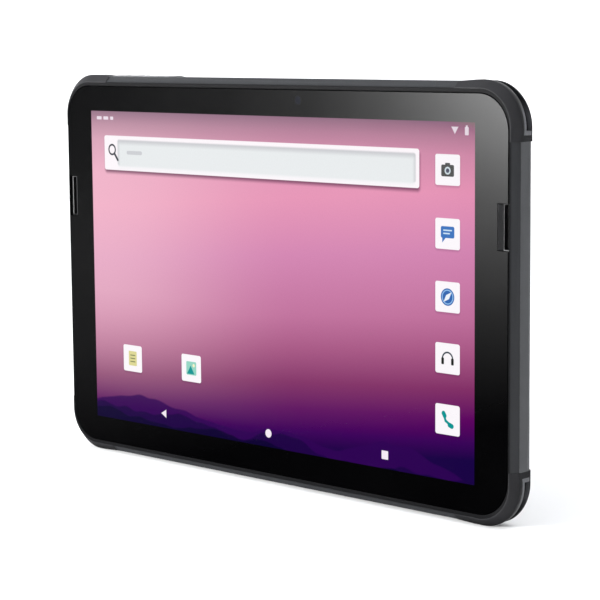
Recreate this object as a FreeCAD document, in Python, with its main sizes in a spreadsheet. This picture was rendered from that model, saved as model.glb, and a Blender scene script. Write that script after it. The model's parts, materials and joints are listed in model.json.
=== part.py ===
"""Rugged ten-inch data collector: a tablet with rubber corner bumpers, standing on its long edge.

Frame: +X to the right of the screen, -Y out of the screen, +Z up. The origin is the middle of the
footprint, on the surface that the lower bumpers stand on. Depths are counted backwards from the
front of the cover glass, and heights from the middle of the screen.
"""
import FreeCAD
import Part
import math
import os
import re
import Sketcher
from FreeCAD import Placement, Rotation, Vector

# Driving dimensions, in millimetres.
SIZES = {
    # Allowances: how far joined solids run into each other, the gap between fitted ones, how far a
    # cutting tool passes through a face, and the length of a tool that only has to reach through a wall
    "overlap": 0.2,
    "hairline": 0.1,
    "beyond": 1,
    "reach": 6,
    # Case outline and depths
    "body_width": 254.8,
    "body_height": 165.6,
    "body_corner": 17,
    "thickness": 12,
    "back_step": 0.6,
    "back_round": 3.6,
    "bezel_depth": 3.2,
    "bezel_chamfer": 2.7,
    "inner_width": 247,
    "inner_height": 156.4,
    "inner_corner": 12.5,
    "cavity_front": 5.1,
    "cavity_back": 9.8,
    "corner_block_x": 100,
    "corner_block_z": 56,
    # Corner bumpers
    "bumper_proud": 0.6,
    "bumper_seat": 1.6,
    "bumper_chamfer": 3,
    "bumper_round": 4.5,
    "bumper_side": 61,
    "bumper_edge": 98.5,
    "bumper_ramp": 8,
    "side_ramp": 3.5,
    "bumper_band": 12,
    "pad_cover": 1.4,
    "seat_chamfer": 1,
    # Strap anchors and their slots
    "anchor_front": 4.4,
    "anchor_back": 11,
    "anchor_proud": 0.4,
    "anchor_wall": 1.5,
    "anchor_round": 3.4,
    "slot_front": 5.8,
    "slot_width": 3.4,
    "slot_web": 5.2,
    "slot_depth": 8.4,
    "slot_edge": 108.4,
    "slot_side": 64.9,
    # Cover glass and display stack
    "glass_width": 248.4,
    "glass_height": 157.2,
    "glass_corner": 14,
    "glass_thick": 1,
    "glass_bevel": 0.2,
    "glass_gap": 0.2,
    "bond_thick": 0.4,
    "gasket_inset": 1,
    "panel_width": 222,
    "panel_height": 140.8,
    "panel_thick": 1,
    "panel_corner": 0.4,
    "backlight_thick": 1.6,
    "window_gap": 0.5,
    "window_corner": 1.5,
    # Chassis
    "chassis_width": 246,
    "chassis_height": 155.4,
    "chassis_corner": 12,
    "chassis_back": 5,
    "boss_radius": 2.6,
    "boss_back": 9.7,
    "cable_width": 20,
    "cable_thick": 0.2,
    "cable_play": 4,
    # Speakers
    "notch_inner": 119.2,
    "notch_outer": 124.6,
    "notch_height": 17.5,
    "notch_z": 29.85,
    "insert_gap": 0.1,
    "ramp_run": 1.8,
    "ramp_drop": 1.3,
    "grille_width": 2,
    "grille_height": 16.4,
    "grille_inset": 1.2,
    "speaker_width": 18,
    "speaker_height": 34,
    "speaker_x": 114,
    "speaker_back": 9.6,
    # Keys on the top edge
    "key_depth": 6.9,
    "key_width": 3,
    "key_gap": 0.3,
    "key_top": 83.2,
    "key_base": 80.45,
    "key_flange": 0.7,
    "flange_reach": 0.6,
    "plunger_size": 2,
    "plunger_foot": 79.4,
    "pod_width": 39,
    "pod_depth": 4.8,
    "pod_height": 0.25,
    "pod_x": -79,
    "pod_end": -57.2,
    "pod_ramp": 2,
    "guard_width": 1.4,
    "guard_height": 0.2,
    "guard_offset": 1.1,
    "pocket_width": 38.6,
    "pocket_roof": 81.4,
    "power_x": -91,
    "power_length": 12.2,
    "rocker_x": -71.9,
    "rocker_length": 21.6,
    "rocker_reach": 7.4,
    "rocker_pivot": 80,
    "rocker_boss": 1.3,
    "rocker_pin_radius": 0.6,
    "rocker_pin_play": 0.05,
    "rocker_pin_length": 5.8,
    "switch_width": 3.4,
    "switch_height": 1.6,
    "pocket_play": 0.7,
    "key_board_x": -79.6,
    "key_board_top": 77.35,
    "key_board_thick": 0.6,
    "key_board_length": 36,
    # Ports on the left side
    "port_depth": 7,
    "port_floor": 124.9,
    "usb_z": -16.6,
    "usb_width": 9,
    "usb_height": 3.3,
    "usb_length": 7.4,
    "usb_wall": 0.3,
    "usb_tongue_set": 0.4,
    "lozenge_round": 0.994,
    "usb_tongue_width": 6.7,
    "usb_tongue_thick": 0.7,
    "cover_depth": 6.6,
    "cover_width": 4.2,
    "cover_bottom": -26.5,
    "cover_top": -7.5,
    "cover_thick": 1.7,
    "cover_outer": 127.3,
    "cover_gap": 0.3,
    "cover_plug_width": 6.6,
    "cover_plug_height": 2,
    "cover_plug_length": 1.4,
    "knuckle_radius": 0.85,
    "hinge_x": 126.1,
    "hinge_pin_radius": 0.45,
    "hinge_pin_play": 0.05,
    "hinge_pin_front": 3.7,
    "hinge_pin_length": 5.9,
    "swing_room": 1.2,
    "jack_z": -40,
    "jack_depth": 7.4,
    "jack_radius": 2.2,
    "jack_bore": 1.8,
    "jack_outer": 126.7,
    "jack_length": 14,
    "jack_end": 0.8,
    "tray_z": 2,
    "tray_depth": 7.2,
    "tray_cap_height": 13,
    "tray_cap_width": 2.2,
    "tray_cap_thick": 1.4,
    "tray_outer": 127.2,
    "tray_height": 12,
    "tray_thick": 1.2,
    "tray_length": 14.6,
    "card_height": 8.8,
    "card_length": 12.3,
    "card_thick": 0.7,
    "card_inset": 0.8,
    "socket_height": 14.6,
    "socket_depth": 3.4,
    "socket_length": 15,
    "socket_wall": 0.7,
    # Dock contacts on the bottom edge
    "dock_depth": 7,
    "dock_width": 26,
    "dock_span": 4,
    "dock_height": 4.9,
    "dock_recess": 0.8,
    "dock_rim": 2,
    "pin_radius": 0.8,
    "pin_pitch": 3,
    "pin_length": 5.7,
    "pin_proud": 0.25,
    # Battery pack and its bay
    "battery_width": 168,
    "battery_height": 60,
    "battery_corner": 4,
    "battery_round": 0.5,
    "battery_z": -36,
    "battery_front": 5.6,
    "battery_skin": 1,
    "battery_plate": 0.4,
    "battery_back": 11.2,
    "bay_gap": 0.3,
    "bay_wall": 1.4,
    "cell_width": 80,
    "cell_height": 54,
    "cell_gap": 2,
    "cell_play": 0.5,
    "seal_front": 8.4,
    "seal_width": 0.8,
    "seal_bite": 0.6,
    "connector_width": 12,
    "connector_front": 5.8,
    "connector_depth": 2.4,
    "connector_height": 3.6,
    "connector_play": 0.3,
    "scoop_width": 26,
    "scoop_height": 5,
    "scoop_depth": 0.9,
    # Battery latches
    "latch_x": 50,
    "latch_width": 14,
    "latch_height": 7.4,
    "latch_bottom": -3.6,
    "latch_front": 10.3,
    "latch_thick": 1,
    "latch_travel": 3,
    "latch_gap": 0.4,
    "latch_rib": 0.5,
    "latch_rib_height": 0.6,
    "latch_rib_pitch": 1.5,
    "latch_rib_short": 3,
    "tongue_width": 6,
    "tongue_length": 4,
    "tongue_play": 0.4,
    "stem_width": 4,
    "stem_height": 3,
    "stem_rise": 3.7,
    "keeper_width": 9,
    "keeper_height": 5,
    "keeper_thick": 0.6,
    "keeper_tab": 1.8,
    "keeper_tab_height": 0.6,
    "spring_radius": 0.8,
    "spring_wire": 0.2,
    "spring_length": 5.8,
    "spring_turns": 6,
    "spring_depth": 8.1,
    "rib_width": 6,
    "rib_height": 1.2,
    # Cameras
    "camera_x": 80,
    "camera_z": 58,
    "camera_window_width": 24,
    "camera_window_height": 11,
    "camera_window_front": 10.8,
    "camera_window_thick": 0.4,
    "camera_window_gap": 0.2,
    "camera_offset": 6,
    "camera_size": 8.5,
    "camera_front": 6.7,
    "lens_radius": 3.2,
    "flash_radius": 1.7,
    "microphone_x": 61,
    "microphone_radius": 0.6,
    "label_width": 70,
    "label_height": 22,
    "label_corner": 2.5,
    "label_depth": 0.3,
    "label_z": 52,
    "face_camera_x": 18,
    "face_camera_z": 74.4,
    "face_camera_radius": 2.4,
    "face_camera_back": 5.4,
    "hole_gap": 0.2,
    # Electronics
    "board_front": 5.6,
    "board_thick": 1,
    "board_half": 94,
    "board_bottom": 9.5,
    "board_top": 69,
    "board_step_x": 62,
    "board_step_z": 48,
    "stud_radius": 2,
    "board_screw_radius": 1.6,
    "board_screw_height": 0.8,
    "shield_height": 2,
    "shield_wall": 0.3,
    "chip_height": 1.2,
    "gnss_size": 16,
    "gnss_thick": 3,
    "gnss_x": -80,
    "gnss_z": 57,
    "coil_width": 46,
    "coil_height": 30,
    "coil_band": 4,
    "coil_thick": 0.3,
    "coil_z": 36,
    "coil_corner": 3,
    "antenna_depth": 3.4,
    "antenna_rise": 0.3,
    # Housing screws
    "screw_radius": 1,
    "screw_head": 1.9,
    "screw_head_front": 10.5,
    "screw_head_thick": 0.6,
    "screw_tip": 6,
    "socket_radius": 0.9,
    "socket_sink": 0.35,
}
CORNERS = {"top_left": (-1, 1), "top_right": (1, 1), "bottom_left": (-1, -1), "bottom_right": (1, -1)}
SIDES = {"left": -1, "right": 1}
SCREW_PLACES = [(104, 3), (-104, 3), (108, -52), (-108, -52), (45, -73), (-45, -73), (45, 73), (-45, 73)]
STUD_PLACES = [(88, 15), (-88, 15), (-66, 66), (54, 64)]
SHIELDS = [(-48, 38, 38, 34), (0, 38, 42, 44), (42, 30, 30, 32)]
ANTENNAS = [(119.5, -24, 3, 34), (78, 75.6, 32, 2.6)]
MIDDLE = "(body_height / 2 + bumper_proud)"

doc = FreeCAD.newDocument("data_collector")
sheet = doc.addObject("Spreadsheet::Sheet", "dims")
for row, (alias, size) in enumerate(SIZES.items(), start=1):
    sheet.set(f"A{row}", alias)
    sheet.set(f"B{row}", str(size))
    sheet.setAlias(f"B{row}", alias)
doc.recompute()
nodes = []


def formula(text):
    """A formula with each dimension's name written as the sheet's cell."""
    return re.sub(r"[a-z]\w*", lambda word: "dims." + word[0] if word[0] in SIZES else word[0], str(text))


def value(text):
    """What a formula comes to, as a plain number."""
    result = sheet.evalExpression(formula(text))
    return float(getattr(result, "Value", result))


def bind(thing, **sizes):
    """Sets an object's properties to formulas."""
    for name, text in sizes.items():
        thing.setExpression(name, formula(text))


def settle(thing, across, depth, height, turn=None):
    """Puts an object at a place given across, behind the glass and above the screen's middle."""
    if turn:
        thing.Placement = Placement(Vector(), turn)
    thing.setExpression("Placement.Base.x", formula(across))
    thing.setExpression("Placement.Base.y", formula(f"{depth} - thickness / 2"))
    thing.setExpression("Placement.Base.z", formula(f"{height} + {MIDDLE}"))
    return thing


def block(name, across, deep, tall, x="0", front="0", z="0"):
    """A box centred on x and z, with its front face at a depth."""
    box = doc.addObject("Part::Box", name)
    bind(box, Length=across, Width=deep, Height=tall)
    return settle(box, f"{x} - ({across}) / 2", front, f"{z} - ({tall}) / 2")


def rod(name, radius, length, x="0", front="0", z="0", along="depth"):
    """A cylinder that starts at a place and runs backwards, to the right or up."""
    turns = {"depth": Rotation(Vector(1, 0, 0), -90), "right": Rotation(Vector(0, 1, 0), 90), "up": None}
    cylinder = doc.addObject("Part::Cylinder", name)
    bind(cylinder, Radius=radius, Height=length)
    return settle(cylinder, x, front, z, turns[along])


def sketch_in(body, role):
    """A sketch on one of a body's own origin planes."""
    plane = next(item for item in body.Origin.OriginFeatures if item.Role == role)
    sketch = body.newObject("Sketcher::SketchObject", body.Name + "_sketch")
    sketch.AttachmentSupport = [(plane, "")]
    sketch.MapMode = "FlatFace"
    return sketch


def constrain(sketch, text, *rule):
    """Adds a constraint and binds its size to a formula."""
    index = sketch.addConstraint(Sketcher.Constraint(*rule, value(text)))
    sketch.setExpression(f"Constraints[{index}]", formula(text))


def rounded_outline(sketch, width, height, radius):
    """A rectangle with round corners, centred on the sketch's origin."""
    start = sketch.GeometryCount
    reach_x = value(f"({width}) / 2 - ({radius})")
    reach_y = value(f"({height}) / 2 - ({radius})")
    round_size = value(radius)
    quarter = math.pi / 2
    for turn, (side_x, side_y) in enumerate([(1, 1), (-1, 1), (-1, -1), (1, -1)]):
        centre = Vector(side_x * reach_x, side_y * reach_y, 0)
        circle = Part.Circle(centre, Vector(0, 0, 1), round_size)
        sketch.addGeometry(Part.ArcOfCircle(circle, turn * quarter, (turn + 1) * quarter))
    arcs = [sketch.Geometry[start + turn] for turn in range(4)]
    for turn in range(4):
        sketch.addGeometry(Part.LineSegment(arcs[turn].EndPoint, arcs[(turn + 1) % 4].StartPoint))
    for turn in range(4):
        line = start + 4 + turn
        sketch.addConstraint(Sketcher.Constraint("Tangent", start + turn, 2, line, 1))
        sketch.addConstraint(Sketcher.Constraint("Tangent", line, 2, start + (turn + 1) % 4, 1))
        sketch.addConstraint(Sketcher.Constraint("Horizontal" if turn % 2 == 0 else "Vertical", line))
    for turn in range(1, 4):
        sketch.addConstraint(Sketcher.Constraint("Equal", start, start + turn))
    sketch.addConstraint(Sketcher.Constraint("Symmetric", start, 3, start + 2, 3, -1, 1))
    constrain(sketch, radius, "Radius", start)
    constrain(sketch, f"{width} - 2 * ({radius})", "DistanceX", start + 1, 3, start, 3)
    constrain(sketch, f"{height} - 2 * ({radius})", "DistanceY", start + 3, 3, start, 3)


def polygon(sketch, points):
    """A closed outline through points given as pairs of formulas from the sketch's origin."""
    start = sketch.GeometryCount
    count = len(points)
    places = [Vector(value(across), value(up), 0) for across, up in points]
    for item in range(count):
        sketch.addGeometry(Part.LineSegment(places[item], places[(item + 1) % count]))
    for item, (across, up) in enumerate(points):
        sketch.addConstraint(Sketcher.Constraint("Coincident", start + item - 1 if item else start + count - 1,
                                                 2, start + item, 1))
        constrain(sketch, across, "DistanceX", -1, 1, start + item, 1)
        constrain(sketch, up, "DistanceY", -1, 1, start + item, 1)


def padded(name, role, outlines, length, backwards=True):
    """A body padded from outlines drawn on one of its origin planes."""
    body = doc.addObject("PartDesign::Body", name)
    sketch = sketch_in(body, role)
    for draw, sizes in outlines:
        draw(sketch, *sizes)
    pad = body.newObject("PartDesign::Pad", name + "_pad")
    pad.Profile = sketch
    pad.Reversed = backwards
    bind(pad, Length=length)
    body.Tip = pad
    return body


def plate(name, width, height, radius, front, back, x="0", z="0", hole=None):
    """A rounded plate facing the screen's way, between two depths; hole is an inner outline."""
    outlines = [(rounded_outline, (width, height, radius))]
    if hole:
        outlines.append((rounded_outline, hole))
    return settle(padded(name, "XZ_Plane", outlines, f"({back}) - ({front})"), x, front, z)


def case_plate(name, offset, front, back):
    """The case's outline, grown or shrunk all round, between two depths."""
    sizes = (f"body_width + 2 * ({offset})", f"body_height + 2 * ({offset})", f"body_corner + ({offset})")
    return plate(name, *sizes, front, back)


def dress(body, kind, size, depth):
    """Chamfers or rounds a body's outline at a depth within it."""
    doc.recompute()
    level = value(depth)
    base = body.Tip
    names = [f"Edge{number}" for number, edge in enumerate(base.Shape.Edges, start=1)
             if abs(edge.BoundBox.YMin - level) < 1e-3 and abs(edge.BoundBox.YMax - level) < 1e-3]
    finish = body.newObject("PartDesign::" + kind, body.Name + "_" + kind.lower())
    finish.Base = (base, names)
    bind(finish, **{"Radius" if kind == "Fillet" else "Size": size})
    body.Tip = finish
    return body


def fuse(name, *parts):
    """All the parts joined into one solid."""
    union = doc.addObject("Part::MultiFuse", name)
    union.Shapes = list(parts)
    union.Refine = True
    return union


def cut(name, base, *tools):
    """What is left of base once the tools are taken away."""
    result = doc.addObject("Part::Cut", name)
    result.Base = base
    result.Tool = tools[0] if len(tools) == 1 else fuse(name + "_tools", *tools)
    result.Refine = True
    return result


def shared(name, first, second):
    """The space that both solids fill."""
    result = doc.addObject("Part::Common", name)
    result.Base = first
    result.Tool = second
    result.Refine = True
    return result


def group(name, *parts):
    """Separate solids kept together as one sub-part."""
    compound = doc.addObject("Part::Compound", name)
    compound.Links = list(parts)
    return compound


def node(thing):
    """Marks a finished sub-part, which is written to a file of its own."""
    nodes.append(thing)
    return thing


def corner_zone(name, side_x, side_z, edge, side, front, back):
    """The space outside a line down the side and a line along the edge, at one corner."""
    across = f"(body_width / 2 + reach - {edge})"
    up = f"(body_height / 2 + reach - {side})"
    return block(name, across, f"{back} - ({front})", up, f"{side_x} * ({edge} + {across} / 2)", front,
                 f"{side_z} * ({side} + {up} / 2)")


# Tools that open each shell, filled in by the sub-assemblies.
housing_tools = []
housing_ridges = []
cavity_ribs = []
bezel_tools = []
chassis_tools = []
chassis_posts = []
gasket_tools = []
glass_tools = []


def corners():
    """Four rubber bumpers, each round a rigid strap anchor with a curved slot."""
    blank = case_plate("bumper_blank", "bumper_proud", "0", "thickness")
    dress(blank, "Chamfer", "bumper_chamfer", "0")
    dress(blank, "Fillet", "bumper_round", "thickness")
    seat = case_plate("bumper_seat_blank", "-bumper_seat", "0", "thickness - pad_cover")
    dress(seat, "Chamfer", "seat_chamfer", "0")
    middle = case_plate("bumper_middle", "-bumper_band", "-beyond", "thickness + beyond")
    ring = cut("bumper_ring", blank, seat, middle)
    band_core = case_plate("anchor_inside", "-bumper_seat", "anchor_front - beyond", "anchor_back + beyond")
    band_blank = case_plate("anchor_outside", "anchor_proud", "anchor_front", "anchor_back")
    dress(band_blank, "Fillet", "anchor_round", "anchor_back - anchor_front")
    band = cut("anchor_band", band_blank, band_core)
    slot_core = case_plate("slot_core", "-slot_depth", "slot_front - beyond", "thickness + 2 * beyond")
    web_core = case_plate("web_core", "-slot_web", "slot_front - beyond", "thickness + 2 * beyond")
    for corner, (side_x, side_z) in CORNERS.items():
        zone = corner_zone(f"zone_{corner}", side_x, side_z, "bumper_edge", "bumper_side", "-beyond",
                           "thickness + beyond")
        rise_x = f"{side_x} * bumper_proud"
        rise_z = f"{side_z} * bumper_proud"
        edge_wedge = [("0", "0"), (f"{side_x} * bumper_ramp", rise_z), ("0", rise_z)]
        side_wedge = [("0", "0"), (rise_x, f"{side_z} * side_ramp"), (rise_x, "0")]
        ramps = []
        for name, wedge, x, z in (
                ("edge", edge_wedge, f"{side_x} * bumper_edge", f"{side_z} * body_height / 2"),
                ("side", side_wedge, f"{side_x} * body_width / 2", f"{side_z} * bumper_side")):
            ramp = padded(f"{name}_ramp_{corner}", "XZ_Plane", [(polygon, (wedge,))], "thickness + 2 * beyond")
            ramps.append(settle(ramp, x, "-beyond", z))
        seat_solid = cut(f"bumper_solid_{corner}", shared(f"bumper_corner_{corner}", ring, zone), *ramps)
        housing_tools.append(seat_solid)
        bezel_tools.append(seat_solid)
        slot_zone = corner_zone(f"slot_zone_{corner}", side_x, side_z, "slot_edge", "slot_side",
                                "slot_front", "slot_front + slot_width")
        edge_slot = cut(f"edge_slot_{corner}", slot_zone, slot_core)
        back_zone = corner_zone(f"back_zone_{corner}", side_x, side_z, "slot_edge", "slot_side",
                                "slot_front", "thickness + beyond")
        back_slot = cut(f"back_slot_{corner}", shared(f"back_slot_core_{corner}", back_zone, web_core),
                        slot_core)
        slot = fuse(f"slot_{corner}", edge_slot, back_slot)
        housing_tools.append(slot)
        anchor_zone = corner_zone(f"anchor_zone_{corner}", side_x, side_z, "slot_edge - anchor_wall",
                                  "slot_side - anchor_wall", "anchor_front", "anchor_back")
        anchor = cut(f"strap_anchor_{corner}", shared(f"anchor_blank_{corner}", band, anchor_zone), slot)
        window = corner_zone(f"window_zone_{corner}", side_x, side_z, "slot_edge - anchor_wall",
                             "slot_side - anchor_wall", "anchor_front", "slot_front + slot_width")
        hole = cut(f"window_{corner}", window, band_core)
        core = shared(f"anchor_core_{corner}", band, anchor_zone)
        node(anchor)
        node(cut(f"corner_bumper_{corner}", seat_solid, hole, back_slot, core))


def display():
    """Cover glass, its bonding, the panel and its backlight, in front of the chassis."""
    glass = plate("glass_blank", "glass_width", "glass_height", "glass_corner", "0", "glass_thick")
    dress(glass, "Chamfer", "glass_bevel", "0")
    node(cut("cover_glass", glass, *glass_tools))
    bond_back = "glass_thick + bond_thick"
    panel_back = f"{bond_back} + panel_thick"
    panel = ("panel_width", "panel_height", "panel_corner")
    node(plate("touch_sensor", *panel, "glass_thick", bond_back))
    node(plate("display_panel", *panel, bond_back, panel_back))
    node(plate("backlight", *panel, panel_back, f"{panel_back} + backlight_thick"))
    gasket = plate("gasket_blank", "glass_width - 2 * gasket_inset", "glass_height - 2 * gasket_inset",
                   "glass_corner - gasket_inset", "glass_thick", bond_back,
                   hole=("panel_width + 2 * window_gap", "panel_height + 2 * window_gap", "window_corner"))
    node(cut("glass_gasket", gasket, *gasket_tools))
    board_back = "board_front + board_thick"
    fold = "(panel_height / 2 + hairline + cable_thick)"
    tail_foot = "(board_top - cable_play)"
    drop = block("cable_drop", "cable_width", f"{board_back} + cable_thick - glass_thick - bond_thick",
                 "cable_thick", "0", bond_back, f"{fold} - cable_thick / 2")
    tail = block("cable_tail", "cable_width", "cable_thick", f"{fold} - {tail_foot}", "0", board_back,
                 f"({fold} + {tail_foot}) / 2")
    node(fuse("display_cable", drop, tail))
    chassis_tools.append(block("cable_slot", "cable_width + cable_play", "chassis_back", "8 * cable_thick", "0",
                               bond_back, "panel_height / 2"))


def speakers():
    """A speaker behind a notch in each end of the glass, under a ramped grille insert."""
    width = "(notch_outer - notch_inner)"
    for side, sign in SIDES.items():
        centre = f"{sign} * (notch_outer + notch_inner) / 2"
        notch = block(f"glass_notch_{side}", width, "reach", "notch_height", centre, "-beyond", "notch_z")
        glass_tools.append(notch)
        gasket_tools.append(notch)
        bezel_tools.append(notch)
        chassis_tools.append(block(f"chassis_notch_{side}", f"{width} + beyond", "chassis_back",
                                   "notch_height + beyond", f"{centre} + {sign} * beyond / 2",
                                   "bezel_depth - beyond", "notch_z"))
        gap = "insert_gap"
        run = f"{width} - 2 * {gap}"
        profile = [("0", gap), ("ramp_run", f"{gap} + ramp_drop"), (run, f"{gap} + ramp_drop"),
                   (run, "bezel_depth"), ("0", "bezel_depth")]
        insert = padded(f"insert_blank_{side}", "XY_Plane", [(polygon, (profile,))],
                        f"notch_height - 2 * {gap}", backwards=False)
        half = f"notch_height / 2 - {gap}"
        if sign > 0:
            settle(insert, f"notch_inner + {gap}", "0", f"notch_z - ({half})")
        else:
            flip = Rotation(Vector(0, 1, 0), 180)
            settle(insert, f"-(notch_inner + {gap})", "0", f"notch_z + {half}", flip)
        grille = block(f"grille_slot_{side}", "grille_width", "reach", "grille_height",
                       f"{sign} * (notch_outer - grille_inset - grille_width / 2)", "-beyond", "notch_z")
        node(cut(f"speaker_grille_{side}", insert, grille))
        box = block(f"speaker_box_{side}", "speaker_width", "speaker_back - cavity_front", "speaker_height",
                    f"{sign} * speaker_x", "cavity_front + hairline", "notch_z")
        neck = block(f"speaker_neck_{side}", "grille_width", "cavity_front - bezel_depth + overlap",
                     "grille_height", f"{sign} * (notch_outer - grille_inset - grille_width / 2 - 2 * overlap)",
                     "bezel_depth", "notch_z")
        node(fuse(f"speaker_{side}", box, neck))


def keys():
    """A power key and a volume rocker in a raised pod, pressing tactile switches on a strip board."""
    front = "key_depth - key_width / 2"
    top = "body_height / 2"
    pod_start = "(pod_x - pod_width / 2)"
    profile = [(pod_start, "-pod_ramp"), ("pod_end", "-pod_ramp"), ("pod_end", "0"),
               ("pod_end - pod_ramp", "pod_height"), (pod_start, "pod_height")]
    pod = settle(padded("key_pod", "XZ_Plane", [(polygon, (profile,))], "pod_depth"), "0",
                 "key_depth - pod_depth / 2", top)
    guards = [block(f"key_guard_{number}", "guard_width", "pod_depth", "guard_height + overlap", place,
                    "key_depth - pod_depth / 2", f"{top} + pod_height + (guard_height - overlap) / 2")
              for number, place in enumerate(["power_x + power_length / 2 + guard_offset",
                                              "rocker_x + rocker_length / 2 + guard_offset"], start=1)]
    housing_ridges.extend([pod, *guards])
    pocket_floor = "(inner_height / 2 - beyond)"
    housing_tools.append(block("key_pocket", "pocket_width", "key_width + 2 * pocket_play",
                               f"pocket_roof - {pocket_floor}", "pod_x", f"{front} - pocket_play",
                               f"(pocket_roof + {pocket_floor}) / 2"))
    for name, place, length in (("power", "power_x", "power_length"), ("rocker", "rocker_x", "rocker_length")):
        housing_tools.append(block(f"{name}_opening", f"{length} + 2 * key_gap", "key_width + 2 * key_gap",
                                   "reach", place, f"{front} - key_gap", top))
    cap_height = "key_top - key_base"
    flange_width = "key_width + 2 * (flange_reach - overlap)"

    def key_body(name, place, length, feet):
        """A key's cap, the flange that keeps it in and the plungers under it."""
        cap = block(f"{name}_cap", length, "key_width", cap_height, place, front, "(key_top + key_base) / 2")
        flange = block(f"{name}_flange", f"{length} + 2 * flange_reach", flange_width, "key_flange", place,
                       f"key_depth - ({flange_width}) / 2", "key_base + key_flange / 2")
        plungers = [block(f"{name}_plunger_{number}", "plunger_size", "plunger_size",
                          "key_base - plunger_foot + overlap", foot, "key_depth - plunger_size / 2",
                          "(key_base + plunger_foot + overlap) / 2")
                    for number, foot in enumerate(feet, start=1)]
        return [cap, flange, *plungers]

    node(fuse("power_key", *key_body("power_key", "power_x", "power_length", ["power_x"])))
    boss = rod("rocker_boss", "rocker_boss", flange_width, "rocker_x", f"key_depth - ({flange_width}) / 2",
               "rocker_pivot")
    feet = ["rocker_x - rocker_reach", "rocker_x + rocker_reach"]
    rocker = fuse("rocker_solid", *key_body("rocker", "rocker_x", "rocker_length", feet), boss)
    pin_front = "key_depth - rocker_pin_length / 2"
    bore = rod("rocker_bore", "rocker_pin_radius + rocker_pin_play", "reach", "rocker_x",
               "key_depth - reach / 2", "rocker_pivot")
    node(cut("volume_rocker", rocker, bore))
    pin = rod("rocker_pin", "rocker_pin_radius", "rocker_pin_length", "rocker_x", pin_front, "rocker_pivot")
    housing_tools.append(pin)
    node(pin)
    switches = [block(f"key_switch_{number}", "switch_width", "key_width - 2 * hairline", "switch_height",
                      place, f"{front} + hairline", "key_board_top + switch_height / 2")
                for number, place in enumerate(["power_x", *feet], start=1)]
    node(group("key_switches", *switches))
    node(block("key_board", "key_board_length", "key_width + 2 * overlap", "key_board_thick", "key_board_x",
               f"{front} - overlap", "key_board_top - key_board_thick / 2"))


def usb_port():
    """A data and charging socket behind a hinged rubber cover."""
    floor = "port_floor"
    shell_end = f"{floor} - usb_length"
    middle = f"-({floor} + {shell_end}) / 2"

    def lozenge(name, width, height, length, start):
        """A round-ended bar that runs to the right from a place on the left side."""
        outline = [(rounded_outline, (height, width, f"({height}) / 2 * lozenge_round"))]
        return settle(padded(name, "YZ_Plane", outline, length, backwards=False), start, "port_depth", "usb_z")

    shell = lozenge("usb_shell", "usb_width", "usb_height", "usb_length", f"-{floor}")
    bore = lozenge("usb_bore", "usb_width - 2 * usb_wall", "usb_height - 2 * usb_wall", "usb_length",
                   f"-{floor} - usb_wall")
    hole = lozenge("usb_hole", "usb_width", "usb_height", "usb_length + 4 * beyond", f"-{floor} - 2 * beyond")
    housing_tools.append(hole)
    node(cut("usb_socket", shell, bore))
    node(block("usb_tongue", "usb_length - 2 * beyond", "usb_tongue_thick", "usb_tongue_width",
               f"{middle} + usb_tongue_set",
               "port_depth - usb_tongue_thick / 2", "usb_z"))
    outside = "(body_width / 2 + 2 * beyond)"
    housing_tools.append(block("cover_recess", f"{outside} - port_floor", "cover_width + 2 * cover_gap",
                               "cover_top - cover_bottom + 2 * cover_gap + swing_room",
                               f"-({outside} + port_floor) / 2", "cover_depth - cover_width / 2 - cover_gap",
                               "(cover_top + cover_bottom - swing_room) / 2"))
    front = "cover_depth - cover_width / 2"
    panel = block("cover_panel", "cover_thick", "cover_width", "cover_top - cover_bottom",
                  "-(cover_outer - cover_thick / 2)", front, "(cover_top + cover_bottom) / 2")
    knuckle = rod("cover_knuckle", "knuckle_radius", "cover_width", "-hinge_x", front, "cover_bottom")
    plug = block("cover_plug", "cover_plug_length + overlap", "cover_plug_height", "cover_plug_width",
                 "-(cover_outer - cover_thick - (cover_plug_length - overlap) / 2)",
                 "port_depth - cover_plug_height / 2", "usb_z")
    bore = rod("knuckle_bore", "hinge_pin_radius + hinge_pin_play", "cover_width + 2 * beyond", "-hinge_x",
               f"{front} - beyond", "cover_bottom")
    node(cut("port_cover", fuse("cover_solid", panel, knuckle, plug), bore))
    pin = rod("port_cover_pin", "hinge_pin_radius", "hinge_pin_length", "-hinge_x", "hinge_pin_front",
              "cover_bottom")
    housing_tools.append(pin)
    node(pin)


def headset_jack():
    """A round audio socket whose barrel ends inside the left wall."""
    barrel = rod("jack_barrel", "jack_radius", "jack_length", "-jack_outer", "jack_depth", "jack_z", "right")
    bore = rod("jack_hole", "jack_bore", "jack_length - jack_end + beyond", "-jack_outer - beyond",
               "jack_depth", "jack_z", "right")
    passage = rod("jack_passage", "jack_radius", "(body_width - inner_width) / 2 + 3 * beyond",
                  "-body_width / 2 - 2 * beyond", "jack_depth", "jack_z", "right")
    housing_tools.append(passage)
    node(cut("headset_jack", barrel, bore))


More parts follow.
